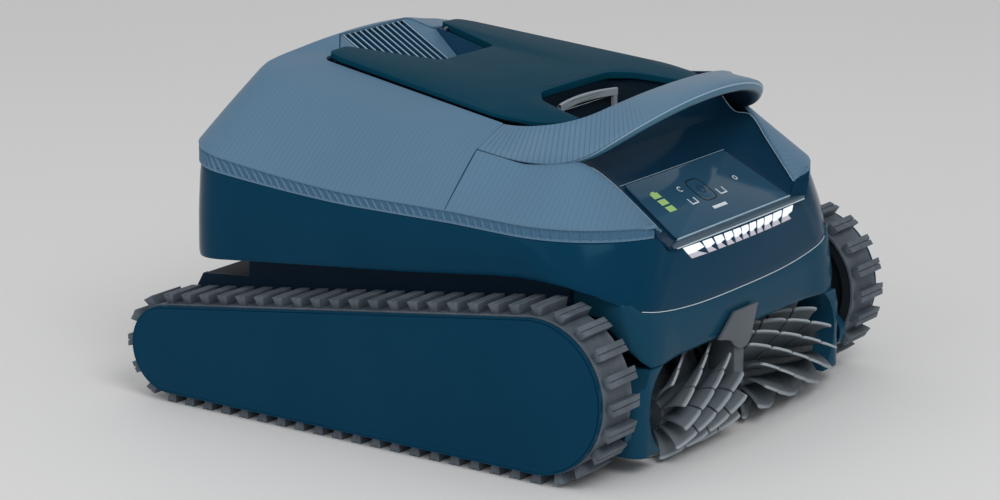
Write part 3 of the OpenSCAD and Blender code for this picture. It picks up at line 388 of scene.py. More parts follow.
def track_loop(d, n):
    """The track's outline as (y, z) at distance d outside the belt's neutral line, n steps a wheel."""
    turn = TOP_A + math.pi / 2
    rear = [on_rear(-math.pi / 2 + turn * i / n, d)[:2] for i in range(n + 1)]
    return rear + [on_front(TOP_A + (2 * math.pi - turn) * i / n, d)[:2] for i in range(n + 1)]


def lug_places():
    """Places of the lugs on the neutral line, as (y, z, direction of the outward normal)."""
    step_f, step_r = 2 * math.pi / FRONT_LUGS, 2 * math.pi / REAR_LUGS
    n_f, n_r = int(math.pi / 2 / step_f + 1e-6), int(TOP_A / step_r)
    front_arc = FRONT_R * (math.pi - TOP_A - n_f * step_f)
    rear_arc = REAR_R * (TOP_A - n_r * step_r)
    upper, lower = front_arc + RUN + rear_arc, RUN + REAR_R * (math.pi / 2 - n_r * step_r)

    def top(s):
        if s < front_arc:
            return on_front(math.pi - n_f * step_f - s / FRONT_R)
        if s > front_arc + RUN:
            return on_rear(TOP_A - (s - front_arc - RUN) / REAR_R)
        return mixed(on_front(TOP_A), on_rear(TOP_A), (s - front_arc) / RUN)

    def bottom(s):
        if s > RUN:
            return on_rear(-math.pi / 2 + (s - RUN) / REAR_R)
        return mixed(on_front(-math.pi / 2), on_rear(-math.pi / 2), s / RUN)

    n_up, n_low = round(upper / BELT_PITCH), round(lower / BELT_PITCH)
    return ([on_front(math.pi + i * step_f) for i in range(-n_f, n_f + 1)]
            + [on_rear(i * step_r) for i in range(-n_r, n_r + 1)]
            + [top(upper * i / n_up) for i in range(1, n_up)]
            + [bottom(lower * i / n_low) for i in range(1, n_low)])


# --- modelling ---
# in metres: distances under which points are merged, and the thickness of a line laid on a surface
DOUBLES, BELT_DOUBLES, FINE_LINE = 0.00001, 0.000002, 0.0005
# walls of the open sheets, in metres, where the user settings have none
BAND_WALL, BUMPER_WALL, DECK_WALL, CORNER_WALL = 0.0016, 0.0026, 0.0022, 0.0016
RECESS_WALL, RAMP_WALL, NOTCH_WALL = 0.0012, 0.0014, 0.0012


def deselect():
    if bpy.context.object and bpy.context.object.mode != "OBJECT":
        bpy.ops.object.mode_set(mode="OBJECT")
    bpy.ops.object.select_all(action="DESELECT")


def pick(piece):
    """Selects one piece alone and makes it the active one."""
    deselect()
    piece.select_set(True)
    bpy.context.view_layer.objects.active = piece


@contextmanager
def edit(piece, select=True):
    """Edit mode on one piece, with all or none of it selected."""
    pick(piece)
    bpy.ops.object.mode_set(mode="EDIT")
    bpy.ops.mesh.select_mode(type="FACE")
    bpy.ops.mesh.select_all(action="SELECT" if select else "DESELECT")
    yield bmesh.from_edit_mesh(piece.data)
    bpy.ops.object.mode_set(mode="OBJECT")


def apply(piece, kind, **settings):
    """Adds a modifier and applies it."""
    pick(piece)
    modifier = piece.modifiers.new(kind.title(), kind)
    for key, value in settings.items():
        setattr(modifier, key, value)
    bpy.ops.object.modifier_apply(modifier=modifier.name)


def ease(piece, width, segments=3, angle=38):
    """Rounds the edges of a piece that are sharper than an angle, by millimetres."""
    apply(piece, "BEVEL", width=width * MM, segments=segments, limit_method="ANGLE",
          angle_limit=math.radians(angle), harden_normals=False, miter_outer="MITER_ARC")


def cut(piece, tool):
    """Cuts the shape of a tool out of a piece, and removes the tool."""
    apply(piece, "BOOLEAN", operation="DIFFERENCE", object=tool, solver="EXACT")
    bpy.data.objects.remove(tool)


def close_up(piece, merge=DOUBLES):
    """Merges doubles and points the faces outwards."""
    with edit(piece):
        bpy.ops.mesh.remove_doubles(threshold=merge)
        bpy.ops.mesh.normals_make_consistent(inside=False)
    return piece


def from_middle(place):
    return place - spot(0, 0, 110)


def face(piece, away):
    """Turns an open sheet so that its faces look away: away(place) gives the direction there."""
    total = sum(f.normal.dot(away(f.center)) * f.area for f in piece.data.polygons)
    if total < 0:
        with edit(piece):
            bpy.ops.mesh.flip_normals()


def walled(piece, wall, away=from_middle):
    """Turns an open sheet to face away and gives it a wall behind that face."""
    face(piece, away)
    apply(piece, "SOLIDIFY", thickness=wall, offset=-1)


def threaded(piece):
    """Gives a narrow strip the thickness of a fine line."""
    apply(piece, "SOLIDIFY", thickness=FINE_LINE, offset=0)
    return piece


def lofted(name, cols, rows, place, length=1.0):
    """A grid laid on a surface: place(u, v) gives each point in millimetres. Its UV is length long."""
    deselect()
    bpy.ops.mesh.primitive_grid_add(x_subdivisions=cols, y_subdivisions=rows, size=1)
    piece = bpy.context.active_object
    piece.name = name
    for vertex in piece.data.vertices:
        vertex.co = spot(*place(vertex.co.x + 0.5, vertex.co.y + 0.5))
    for corner in piece.data.uv_layers[0].data:
        corner.uv = (corner.uv[0] * length, corner.uv[1])
    return piece


def skinned(name, path, count, section):
    """A sheet through the sections that section(t) gives at even steps along a path."""
    along, run = evenly(path, count)
    sections = [section(t) for t in along]
    rows = len(sections[0]) - 1
    return lofted(name, count, rows, lambda u, v: sections[round(u * count)][round(v * rows)], run * MM)


def halves(u):
    """The side, 1 or -1, and the way from its end to the middle, on a sheet that runs over both sides."""
    return (1, 2 * u) if u < 0.5 else (-1, 2 - 2 * u)


def prism(name, outline, low, high, lay=lambda a, b, c: (a, b, c)):
    """A disc whose rim is moved onto an outline, extruded from low to high. lay() turns it into place."""
    deselect()
    bpy.ops.mesh.primitive_circle_add(vertices=len(outline), radius=1, fill_type="NGON")
    piece = bpy.context.active_object
    piece.name = name
    for vertex, (a, b) in zip(piece.data.vertices, outline):
        vertex.co = (a, b, low)
    with edit(piece):
        bpy.ops.mesh.extrude_region_move(TRANSFORM_OT_translate={"value": (0, 0, high - low)})
    for vertex in piece.data.vertices:
        vertex.co = spot(*lay(*vertex.co))
    return close_up(piece)


def side_lay(y, z, x):
    return (x, y, z)


def front_lay(x, z, y):
    return (x, y, z)


def rod(radius, x0, x1, y, z):
    """A cylinder along X."""
    deselect()
    bpy.ops.mesh.primitive_cylinder_add(vertices=48, radius=radius * MM, depth=(x1 - x0) * MM,
                                        location=spot((x0 + x1) / 2, y, z), rotation=(0, math.pi / 2, 0))
    piece = bpy.context.active_object
    pick(piece)
    bpy.ops.object.transform_apply(location=True, rotation=True, scale=True)
    return piece


def capped(piece):
    """Merges a tube's seam and closes its ends."""
    with edit(piece):
        bpy.ops.mesh.remove_doubles(threshold=DOUBLES)
        bpy.ops.mesh.select_all(action="DESELECT")
        bpy.ops.mesh.select_mode(type="EDGE")
        bpy.ops.mesh.select_non_manifold(extend=False, use_wire=False, use_boundary=True,
                                         use_multi_face=False, use_non_contiguous=False, use_verts=False)
        bpy.ops.mesh.fill()
        bpy.ops.mesh.select_all(action="SELECT")
        bpy.ops.mesh.normals_make_consistent(inside=False)
    return piece


def copied(piece, name, change):
    """A copy of a piece with its own mesh, moved by a matrix."""
    twin = piece.copy()
    twin.data = piece.data.copy()
    twin.name = name
    bpy.context.scene.collection.objects.link(twin)
    twin.data.transform(change)
    if change.determinant() < 0:
        twin.data.flip_normals()
    return twin


def set_down(x, y, z, axis, angle):
    """The matrix that turns a piece made at the datum about an axis, and moves it to its place."""
    to_origin = Matrix.Translation(-spot(0, 0, 0))
    return Matrix.Translation(spot(x, y, z)) @ Matrix.Rotation(angle, 4, axis) @ to_origin


def mirrored(piece, name):
    return copied(piece, name, Matrix.Scale(-1, 4, (1, 0, 0)))


def joined(pieces, name):
    deselect()
    for piece in pieces:
        piece.select_set(True)
    bpy.context.view_layer.objects.active = pieces[0]
    bpy.ops.object.join()
    pieces[0].name = name
    return pieces[0]


# --- finishes ---
def linear(colour):
    return tuple(c / 12.92 if c <= 0.04045 else ((c + 0.055) / 1.055) ** 2.4 for c in colour)


def shifted(colour, amount):
    return tuple(min(1, max(0, c + amount)) for c in colour)


class Wire:
    """An output of a shader node. Arithmetic on it adds Math nodes."""

    def __init__(self, paint, socket):
        self.paint = paint
        self.socket = socket

    def math(self, operation, *values):
        return self.paint.node("ShaderNodeMath", {"operation": operation}, dict(enumerate(values)))

    def __add__(self, other):
        return self.math("ADD", self, other)

    def __sub__(self, other):
        return self.math("SUBTRACT", self, other)

    def __rsub__(self, other):
        return self.math("SUBTRACT", other, self)

    def __mul__(self, other):
        return self.math("MULTIPLY", self, other)

    __radd__ = __add__
    __rmul__ = __mul__

    def sine(self):
        return self.math("SINE", self)

    def absolute(self):
        return self.math("ABSOLUTE", self)

    def between(self, low, high):
        """0 at low and below, 1 at high and above, smooth between."""
        return self.paint.node(
            "ShaderNodeMapRange", {"interpolation_type": "SMOOTHSTEP", "clamp": True},
            {"Value": self, "From Min": low, "From Max": high, "To Min": 0.0, "To Max": 1.0})


class Paint:
    """One node-based material."""

    def __init__(self):
        self.material = bpy.data.materials.new("finish")
        self.material.use_nodes = True
        self.tree = self.material.node_tree
        self.shader = self.tree.nodes["Principled BSDF"]

    def plug(self, socket, value):
        if isinstance(value, Wire):
            self.tree.links.new(value.socket, socket)
        else:
            socket.default_value = value

    def node(self, kind, settings=None, inputs=None, output=0):
        """Adds a node: its settings first, then the values or links of its sockets."""
        node = self.tree.nodes.new(kind)
        for key, value in (settings or {}).items():
            setattr(node, key, value)
        for key, value in (inputs or {}).items():
            self.plug(node.inputs[key], value)
        return Wire(self, node.outputs[output])

    def place(self):
        return self.node("ShaderNodeTexCoord", output="Object")

    def axis(self, i):
        """One coordinate of the place: 0 for x, 1 for y, 2 for z."""
        return self.node("ShaderNodeSeparateXYZ", None, {0: self.place()}, output=i)

    def surface(self):
        """The piece's own UV map, split: along it and across it."""
        uv = self.node("ShaderNodeTexCoord", output="UV")
        return [self.node("ShaderNodeSeparateXYZ", None, {0: uv}, output=i) for i in range(2)]

    def noise(self, scale, detail=3.0, rough=0.55, place=None):
        return self.node("ShaderNodeTexNoise", None, {"Vector": place or self.place(), "Scale": scale,
                                                      "Detail": detail, "Roughness": rough})

    def tint(self, factor, a, b):
        """Mixes two colours, each a tuple or a Wire."""
        a, b = (c if isinstance(c, Wire) else (*linear(c), 1) for c in (a, b))
        return self.node("ShaderNodeMix", {"data_type": "RGBA"}, {0: factor, 6: a, 7: b}, output=2)

    def bump(self, height):
        """A normal from a height in metres."""
        return self.node("ShaderNodeBump", None, {"Height": height, "Distance": 1.0, "Strength": 1.0})

    def dress(self, **sockets):
        """Sets the shader's own sockets, by name with underscores for spaces."""
        for key, value in sockets.items():
            self.plug(self.shader.inputs[key.replace("_", " ")], value)
        return self.material


# the second colour is a painted reflection tint: sea blue, standing in for water round the machine
WHITE, PAINTED_SEA_REFLECTION = (1, 1, 1), (0.3, 0.72, 1.0)
GRAIN = 900
# the colour of the rib lines' painted shade, and their pitch
RIB_SHADE_COLOUR, RIB_PITCH = (0.24, 0.37, 0.48), 0.0042


def moulded(colour, rough=0.4, shine=0.3, depth=0.00004, mottle=0.012, tint=WHITE, extra=None):
    """Injection-moulded plastic: fine eroded grain of one depth, and faint flow marks."""
    p = Paint()
    flow = p.noise(14, 2)
    fine = p.noise(GRAIN, 2, 0.6)
    base = p.tint(flow, shifted(colour, -mottle), shifted(colour, mottle))
    if extra:
        base = extra(p, base)
    roughness = flow * 0.08 + fine * 0.05 + (rough - 0.06)
    return p.dress(Base_Color=base, Roughness=roughness, Normal=p.bump(fine * depth),
                   Specular_IOR_Level=shine, Specular_Tint=(*tint, 1))


def glossy(colour, rough, shine, depth=0.00001, **more):
    """Smooth moulded plastic whose reflections are tinted sea blue, a painted reflection colour standing in
    for water round it.
    """
    return moulded(colour, rough, shine, depth, tint=PAINTED_SEA_REFLECTION, **more)


def rubber(colour):
    """Belt rubber: pitted, with dust in clouds."""
    p = Paint()
    dust = p.noise(55, 5, 0.65).between(0.35, 0.75)
    pits = p.noise(1400, 3, 0.7)
    base = p.tint(dust, shifted(colour, -0.03), shifted(colour, 0.06))
    return p.dress(Base_Color=base, Roughness=dust * 0.12 + 0.62, Normal=p.bump(pits * 0.00008))


def brush_rubber(colour):
    """Rubber paddles: painted shade darkens the root, and a painted highlight lightens the tip. UV across
    runs from root to tip.
    """
    p = Paint()
    across = p.surface()[1]
    cloud = p.noise(70, 3)
    pits = p.noise(1500, 2, 0.7)
    body = p.tint(cloud, shifted(colour, -0.03), shifted(colour, 0.035))
    # painted shade: darker towards the root, where the paddles crowd round the core
    body = p.tint(across.between(0.0, 0.75), shifted(colour, -0.17), body)
    # painted highlight: a light band at the tip
    body = p.tint(across.between(0.86, 0.97), body, shifted(colour, 0.25))
    return p.dress(Base_Color=body, Roughness=cloud * 0.1 + 0.5, Normal=p.bump(pits * 0.00005))


def turned_metal(colour, rough=0.28):
    """Metal with fine streaks round the X axis."""
    p = Paint()
    stretched = p.node("ShaderNodeMapping", None, {"Vector": p.place(), "Scale": (900, 40, 40)})
    streak = p.noise(1.0, 3.0, 0.5, stretched)
    base = p.tint(streak, shifted(colour, -0.05), shifted(colour, 0.05))
    return p.dress(Base_Color=base, Metallic=1.0, Roughness=streak * 0.15 + rough,
                   Normal=p.bump(streak * 0.00002))


def woven(colour):
    """Fine filter cloth."""
    p = Paint()
    x, y, z = (p.axis(i) for i in range(3))
    pitch = 2 * math.pi / 0.0012
    cloth = ((x + y) * pitch).sine().absolute() * (z * pitch).sine().absolute()
    base = p.tint(cloth, shifted(colour, -0.25), colour)
    return p.dress(Base_Color=base, Roughness=cloth * 0.1 + 0.75, Normal=p.bump(cloth * 0.0002))


def light_lens(colour):
    """Frosted lens with painted light: whiter and glowing more towards its upper edge, with painted shade
    on its lower part.
    """
    p = Paint()
    # painted light: above this height the lens is whiter and glows more; below it is greyer and dimmer
    upper = p.axis(2).between(0.1482, 0.1496)
    base = p.tint(upper, (0.78, 0.77, 0.81), colour)
    base = p.tint(p.noise(500, 2) * 0.15, base, (0.8, 0.84, 0.88))
    glow = p.tint(upper, (0.42, 0.4, 0.44), (0.9, 0.95, 1.0))
    return p.dress(Base_Color=base, Emission_Color=glow, Emission_Strength=0.55, Roughness=0.3)


def rib_painted_shade(p, base, weight):
    """Fine darker lines across a moulding, by the UV along it: painted shade standing in for the shaded
    grooves between ribs.
    """
    wave = (p.surface()[0] * (2 * math.pi / RIB_PITCH)).sine().between(0.35, 0.95)
    return p.tint(wave * weight, base, RIB_SHADE_COLOUR)


def lid_sides_dark(p, base):
    """The lid's sides are darker than its top: the height is measured from the sloping lid plane."""
    y, z = p.axis(1), p.axis(2)
    y_up, z_up = math.sin(LID_TILT), math.cos(LID_TILT)
    start = LID_Z * z_up - (DATUM - LID_Y) * y_up
    level = z * (z_up / MM) - y * (y_up / MM) - start
    return p.tint(level.between(LID_EDGE - 1, LID_EDGE - 0.3), (0.1, 0.17, 0.23), base)


def underside_painted_light(p, base):
    """Painted light on the handle: rib lines of painted shade that fade towards its middle, a painted
    highlight along the crease, and painted shade on the lip and on the lower faces.
    """
    along, across = p.surface()
    middle = HANDLE_RUN * MM / 2
    sides = (along - middle).absolute().between(0.06, 0.11)
    # painted shade on the lip below the crease
    lip = p.tint(across.between(0.5, 0.52), rib_painted_shade(p, base, sides * 0.45), (0.25, 0.43, 0.53))
    # painted highlight: a thin bright line along the crease
    crease = across.between(0.485, 0.495) * (1 - across.between(0.505, 0.52))
    lip = p.tint(crease * 0.75, lip, (0.66, 0.76, 0.82))
    # painted shade on the handle's lower faces
    return p.tint(across.between(0.6, 0.64), lip, (0.06, 0.13, 0.2))


def pocket_painted_shade(p, base):
    """Painted shade: faint darker rib lines over the shell, and darker pockets in its lower band, which
    carry a UV of their own.
    """
    # painted shade inside the pockets, which are real recesses
    pockets = p.surface()[1].between(POCKET_UV - 0.5, POCKET_UV - 0.4)
    return p.tint(pockets, rib_painted_shade(p, base, 0.18), (0.27, 0.43, 0.55))


def finishes(colours):
    """A material for each material slot of the record, and those that only scene pieces have."""
    made = {
        "housing_plastic": glossy(colours.housing, 0.16, 0.08, 0.000008),
        "shell_plastic": moulded(colours.shell, 0.42, 0.2, extra=pocket_painted_shade),
        "handle_plastic": moulded(colours.shell, 0.36, extra=underside_painted_light),
        "lid_plastic": glossy(colours.lid, 0.26, 0.006, extra=lid_sides_dark),
        "rim_plastic": glossy((0.03, 0.11, 0.17), 0.4, 0.08, 0.00004),
        "bumper_plastic": glossy(colours.bumper, 0.2, 0.08),
        "deck_plastic": glossy((0.07, 0.2, 0.29), 0.14, 0.04, 0.000005),
        "panel_gloss": glossy((0.18, 0.33, 0.43), 0.1, 0.16, 0.000003, mottle=0.004),
        "button_plastic": moulded((0.16, 0.26, 0.32), 0.3),
        "light_base": moulded((0.1, 0.15, 0.19), 0.35),
        "light_lens": light_lens((0.95, 0.97, 1.0)),
        "chassis_plastic": moulded((0.05, 0.15, 0.23), 0.5, 0.1),
        "bracket_plastic": moulded((0.34, 0.37, 0.4), 0.38),
        "grille_plastic": moulded((0.1, 0.29, 0.42), 0.42),
        "track_rubber": rubber(colours.track),
        "brush_rubber": brush_rubber(colours.brush),
        "wheel_plastic": moulded((0.13, 0.15, 0.17), 0.5),
        "basket_plastic": moulded((0.6, 0.66, 0.7), 0.45),
        "handle_light": moulded((0.62, 0.67, 0.7), 0.4),
        "mesh_fabric": woven((0.8, 0.83, 0.85)),
        "steel": turned_metal((0.7, 0.7, 0.71)),
        "motor_can": turned_metal((0.55, 0.56, 0.58), 0.35),
        "gear_plastic": moulded((0.85, 0.84, 0.78), 0.45),
        "pinion_brass": turned_metal((0.78, 0.62, 0.32)),
        "cell_wrap": moulded((0.15, 0.4, 0.28), 0.3),
        "board_green": moulded((0.08, 0.3, 0.17), 0.35),
        "recess_dark": moulded((0.03, 0.09, 0.14), 0.5, 0.05),
        # painted highlight colour for the slats' top edges
        "slat_light": moulded((0.6, 0.72, 0.8), 0.4),
        # painted highlight colour for thin lines along seams
        "seam_light": moulded((0.8, 0.86, 0.9), 0.35),
        "bezel_grey": moulded((0.3, 0.38, 0.44), 0.3),
        # painted highlight colour for thin lines along edges
        "edge_bright": moulded((0.62, 0.74, 0.82), 0.3),
        "mark_white": moulded((0.9, 0.94, 0.96), depth=0),
        "mark_green": moulded((0.68, 0.85, 0.52), depth=0),
        "mark_dark": moulded((0.03, 0.09, 0.12), depth=0),
        "lid_rim_light": moulded((0.06, 0.16, 0.22), 0.4, 0.1),
    }
    for name, material in made.items():
        material.name = name
    return made


MATERIALS = {}


def finish(piece, material):
    piece.data.materials.clear()
    piece.data.materials.append(MATERIALS[material])


def settle(piece, slot, replaced=(), angle=32, material=None, body="body"):
    """Smooths a finished piece, gives it its material and hands it to the frame."""
    pick(piece)
    bpy.ops.object.shade_smooth_by_angle(angle=math.radians(angle))
    finish(piece, material or slot)
    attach(piece, body)
    for node in replaced:
        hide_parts(node)


def settle_both(left, slot, replaced=(), angle=32, material=None, body="body"):
    """Settles a piece of the left side and its mirror image. All their names hold left or right."""
    right = mirrored(left, left.name.replace("left", "right"))
    settle(left, slot, replaced, angle, material, body)
    settle(right, slot, [node.replace("left", "right") for node in replaced], angle, material,
           body.replace("left", "right"))


# --- user settings ---
def length_setting(name, description, value):
    return bpy.props.FloatProperty(name=name, description=description, default=value, min=0, unit="LENGTH",
                                   subtype="DISTANCE", precision=5)


def colour_setting(name, description, value):
    return bpy.props.FloatVectorProperty(name=name, description=description, default=value, min=0, max=1,
                                         size=3, subtype="COLOR_GAMMA")


class CLEANER_PG_shape(bpy.types.PropertyGroup):
    pocket_pitch: length_setting("Pocket pitch", "Distance between the pockets of the lower band", 0.007)
    shell_wall: length_setting("Shell wall", "Wall of the moulded shells", 0.0024)
    lid_crown: length_setting("Lid crown", "Rise of the lid's middle over its sides", 0.003)
    paddle_thickness: length_setting("Paddle thickness", "Thickness of a brush paddle", 0.0018)
    slat_thickness: length_setting("Slat thickness", "Thickness of an outlet slat", 0.0014)
    lug_groove: length_setting("Lug groove", "Depth of the groove along a belt lug", 0.0012)


class CLEANER_PG_colours(bpy.types.PropertyGroup):
    housing: colour_setting("Housing", "Lower housing and side covers", (0.04, 0.225, 0.325))
    shell: colour_setting("Shell", "Top shell, cheeks and handle", (0.37, 0.505, 0.61))
    lid: colour_setting("Lid", "Lid over the filter basket", (0.04, 0.25, 0.33))
    bumper: colour_setting("Bumper", "Front bumper", (0.1, 0.27, 0.36))
    track: colour_setting("Tracks", "Track belts", (0.33, 0.37, 0.41))
    brush: colour_setting("Brushes", "Brush paddles", (0.37, 0.41, 0.44))


# --- pieces ---
def aimed(name, data, at, aim):
    """A camera or lamp at one place, turned to another, in metres."""
    obj = bpy.data.objects.new(name, data)
    bpy.context.scene.collection.objects.link(obj)
    obj.location = at
    obj.rotation_euler = (Vector(aim) - Vector(at)).to_track_quat("-Z", "Y").to_euler()
    return obj


class CLEANER_OT_stage(bpy.types.Operator):
    """Add the camera, the lamps and the floor"""

    bl_idname = "cleaner.stage"
    bl_label = "Stage"

    def execute(self, context):
        scene = context.scene
        camera = bpy.data.cameras.new("camera")
        camera.lens, camera.sensor_width, camera.clip_end = LENS, SENSOR, VIEW_END
        scene.camera = aimed("camera", camera, spot(*CAMERA_AT), spot(*CAMERA_AIM))
        scene.view_settings.view_transform = "Standard"
        scene.world = bpy.data.worlds.new("world")
        scene.world.use_nodes = True
        background = scene.world.node_tree.nodes["Background"].inputs
        background[0].default_value, background[1].default_value = (1, 1, 1, 1), 0.5
        for name, at, size, power in LAMPS:
            lamp = bpy.data.lights.new(name, "AREA")
            lamp.size, lamp.energy = size, power
            aimed(name, lamp, at, LAMP_AIM)
        deselect()
        bpy.ops.mesh.primitive_plane_add(size=FLOOR_SIZE, location=(0, 0, 0))
        floor = context.active_object
        floor.name = "floor"
        paint = Paint()
        cloud = paint.noise(3, 2)
        pale = paint.tint(cloud, (0.95, 0.95, 0.95), (0.96, 0.96, 0.96))
        floor.data.materials.append(paint.dress(Base_Color=pale, Roughness=cloud * 0.05 + 0.6))
        return {"FINISHED"}


class CLEANER_OT_finishes(bpy.types.Operator):
    """Make the materials and lay them on the CAD nodes"""

    bl_idname = "cleaner.finishes"
    bl_label = "Finishes"

    def execute(self, context):
        MATERIALS.update(finishes(context.scene.cleaner_colours))
        for name, slot in SLOT_OF.items():
            if slot not in MATERIALS:
                raise RuntimeError("no finish for slot " + slot)
            finish(NODES[name], slot)
        return {"FINISHED"}


SIDE_STEPS = (0, 0.06, 0.2, 0.4, 0.6, 0.8, 0.93)
TOP_STEPS = (0.06, 0.2, 0.45, 0.7, 0.9, 1)
SHELL_LIP = 2.2
BAND_LEVELS = (0.0, 0.1, 0.9, 1.0)
# the pockets: their lean at the rear in degrees, their rim and depth in metres, and the UV that marks them
# for their painted shade
POCKET_LEAN, POCKET_RIM, POCKET_DEPTH, POCKET_UV = 34, 0.0008, 0.0014, 2


def shell_section(q):
    """The shell's section at one place along its foot, from its lower edge over the crease to its mouth."""
    foot, crease, mouth = shell_foot(q), shell_crease(q), shell_mouth(q)
    low = (*foot, band_high(foot[1]))
    fold = (*crease, crease_height(*crease))
    edge = (*mouth, rear_edge_height(mouth[1]))
    half = tuple((a + b) / 2 + c for a, b, c in zip(low, fold, (0, 0, 0.8)))
    side = [bowed(low, half, fold, t) for t in SIDE_STEPS]
    top = [mixed(fold, edge, t) for t in TOP_STEPS]
    ridge = tuple(0.5 * f + 0.25 * (a + b) for f, a, b in zip(fold, side[-1], top[0]))
    return side + [ridge] + top + [(edge[0], edge[1], edge[2] - SHELL_LIP)]


def cheek_section(t):
    """The cheek's section at one place along its foot, from its lower edge over its rounded rail."""
    foot, rail = cheek_foot(t), flowing(CHEEK_RAIL, t)
    low = (*foot, band_high(foot[1]))
    half = tuple((a + b) / 2 + c for a, b, c in zip(low, rail, (0.8, -0.8, 0.8)))
    side = [bowed(low, half, rail, s) for s in (*SIDE_STEPS, 0.99)]
    x, y, z = rail
    return side + [(x - 0.7, y + 0.3, z - 0.3), (x - 1.6, y + 0.8, z - 2.0)]


class CLEANER_OT_shell(bpy.types.Operator):
    """Model the top shell, the two cheeks and the pocketed band under them"""

    bl_idname = "cleaner.shell"
    bl_label = "Shell and cheeks"

    def execute(self, context):
        shape = context.scene.cleaner_shape
        shell = skinned("shell_skin", lambda t: shell_foot(38 * t), 176, lambda t: shell_section(38 * t))
        walled(shell, shape.shell_wall)
        settle(shell, "shell_plastic", ["top_shell"], 40)
        cheek = skinned("cheek_skin_left", cheek_foot, 64, cheek_section)
        walled(cheek, shape.shell_wall)
        settle_both(cheek, "shell_plastic", ["cheek_left"], 40)

        count = round(evenly(band_path, 2)[1] * MM / shape.pocket_pitch)
        fine_count = 1200
        along, run = evenly(band_path, count)
        fine, _ = evenly(band_path, fine_count)

        def place(u, v):
            """The pockets lean back, the more the further back they are, and stand upright at the ends."""
            level = BAND_LEVELS[round(v * 3)]
            x, y = band_path(along[round(u * count)])
            lean = math.tan(math.radians(POCKET_LEAN * smooth_step(-190, 60, y))) * (1 - level)
            forward = -1 if u < 0.5 else 1
            step = forward * lean * (band_high(y) - band_low(y)) / run
            at = min(1, max(0, round(u * count) / count + step * min(1, min(u, 1 - u) * 12)))
            x, y = band_path(fine[round(at * fine_count)])
            low, high = band_low(y), band_high(y)
            return (x, y, low + (high - low) * level)

        band = lofted("shell_band", count, 3, place, run * MM)
        face(band, from_middle)
        with edit(band, select=False) as mesh:
            uv = mesh.loops.layers.uv.active
            for f in mesh.faces:
                middle = sum(corner[uv].uv.y for corner in f.loops) / len(f.loops)
                f.select = 0.34 < middle < 0.66
            bmesh.update_edit_mesh(band.data)
            bpy.ops.mesh.inset(thickness=POCKET_RIM, depth=-POCKET_DEPTH, use_individual=True)
            mesh = bmesh.from_edit_mesh(band.data)
            uv = mesh.loops.layers.uv.active
            # the pockets' faces get their own UV, which marks them for their painted shade
            for f in mesh.faces:
                if f.select:
                    for corner in f.loops:
                        corner[uv].uv.y = POCKET_UV
            bmesh.update_edit_mesh(band.data)
        apply(band, "SOLIDIFY", thickness=BAND_WALL, offset=-1)
        settle(band, "shell_plastic", angle=30)
        return {"FINISHED"}


class CLEANER_OT_handle(bpy.types.Operator):
    """Model the carry handle from its two rails"""

    bl_idname = "cleaner.handle"
    bl_label = "Carry handle"

    def execute(self, context):
        n = len(HANDLE_PROFILE)
        handle = skinned("handle_band", handle_path, HANDLE_STEPS,
                         lambda t: [handle_point(t, i / n) for i in range(n + 1)])
        settle(capped(handle), "handle_plastic", ["carry_handle"], 40)
        return {"FINISHED"}


HOUSING_LEVELS = (0, 0.02, 0.06, 0.12, 0.25, 0.4, 0.55, 0.7, 0.85, 0.95, 0.985, 1)
# share of the height from the top edge, and how far the housing bulges there
HOUSING_BULGE = ((0, -0.5), (0.02, 0), (0.12, 0.6), (0.5, 1.2), (0.94, 0.5), (1, -0.5))
LIGHT_LEDGE, BAND_GAP = 155.9, 0.4


def stepped(rows, at):
    """The second number of rows of two, straight between the rows, at a place on the first."""
    for (a, p), (b, q) in zip(rows, rows[1:]):
        if (at - b) * (b - a) <= 0:
            return p + (q - p) * (at - a) / (b - a)
    return rows[-1][1]


class CLEANER_OT_housing(bpy.types.Operator):
    """Model the lower housing"""

    bl_idname = "cleaner.housing"
    bl_label = "Housing"

    def execute(self, context):
        upper = half_plan(SHELL_HX, SHELL_HX, TAIL_R, NOSE_R, FRONT_FACE_Y, 3)
        lower = half_plan(SKIRT_HX, SHELL_HX, TAIL_R, 60, -197.5, 2)
        top_ring, low_ring = (half + [(-x, y) for x, y in half[-2:0:-1]] for half in (upper, lower))
        n, rows = len(top_ring), len(HOUSING_LEVELS) - 1

        def place(u, v):
            k = round(u * n) % n
            (x, y), (p, q) = top_ring[k], low_ring[k]
            edge = band_low(y) - BAND_GAP
            flat = LIGHT_LEDGE if y < SEAM_Y else edge
            top = flat + (edge - flat) * smooth_step(96, 106, abs(x))
            skirt = stepped(SKIRT, q)
            low = max(skirt, seam_height(p)) if q < -150 else skirt
            t = HOUSING_LEVELS[round(v * rows)]
            out = Vector((x, y)).normalized() * stepped(HOUSING_BULGE, t)
            return (x + (p - x) * t + out.x, y + (q - y) * t + out.y, top + (low - top) * t)

        housing = lofted("housing_skin", n, rows, place)
        with edit(housing):
            bpy.ops.mesh.remove_doubles(threshold=DOUBLES)
        walled(housing, context.scene.cleaner_shape.shell_wall)
        settle(housing, "housing_plastic", ["housing"], 35)
        return {"FINISHED"}


# the left half of the bumper: its end on the side of the housing, its corner, and its lower edge
BUMPER_SIDE = [(146.5, -128, 146), (147, -170, 137)]
BUMPER_CORNER = [(145.4, -186.6), (139, -190.5), (131, -194), (121, -196.5), (109, -197.5)]
BUMPER_LOW = [(146.5, -128, 116), (146.8, -168, 113), (146, -183, 100.5), (143.5, -191.5, 92),
              (138, -197.5, 84), (130, -201.6, 77.5), (118, -202.8, 77)]
BUMPER_FOOT = 78
# share of the height from the top edge, and how far the skin bulges there
BUMPER_STEPS = ((0, -0.7), (0.03, 0.1), (0.1, 0.8), (0.25, 1.3), (0.5, 1.6), (0.75, 1.3), (0.9, 0.8),
                (0.97, 0.1), (1, -0.7))
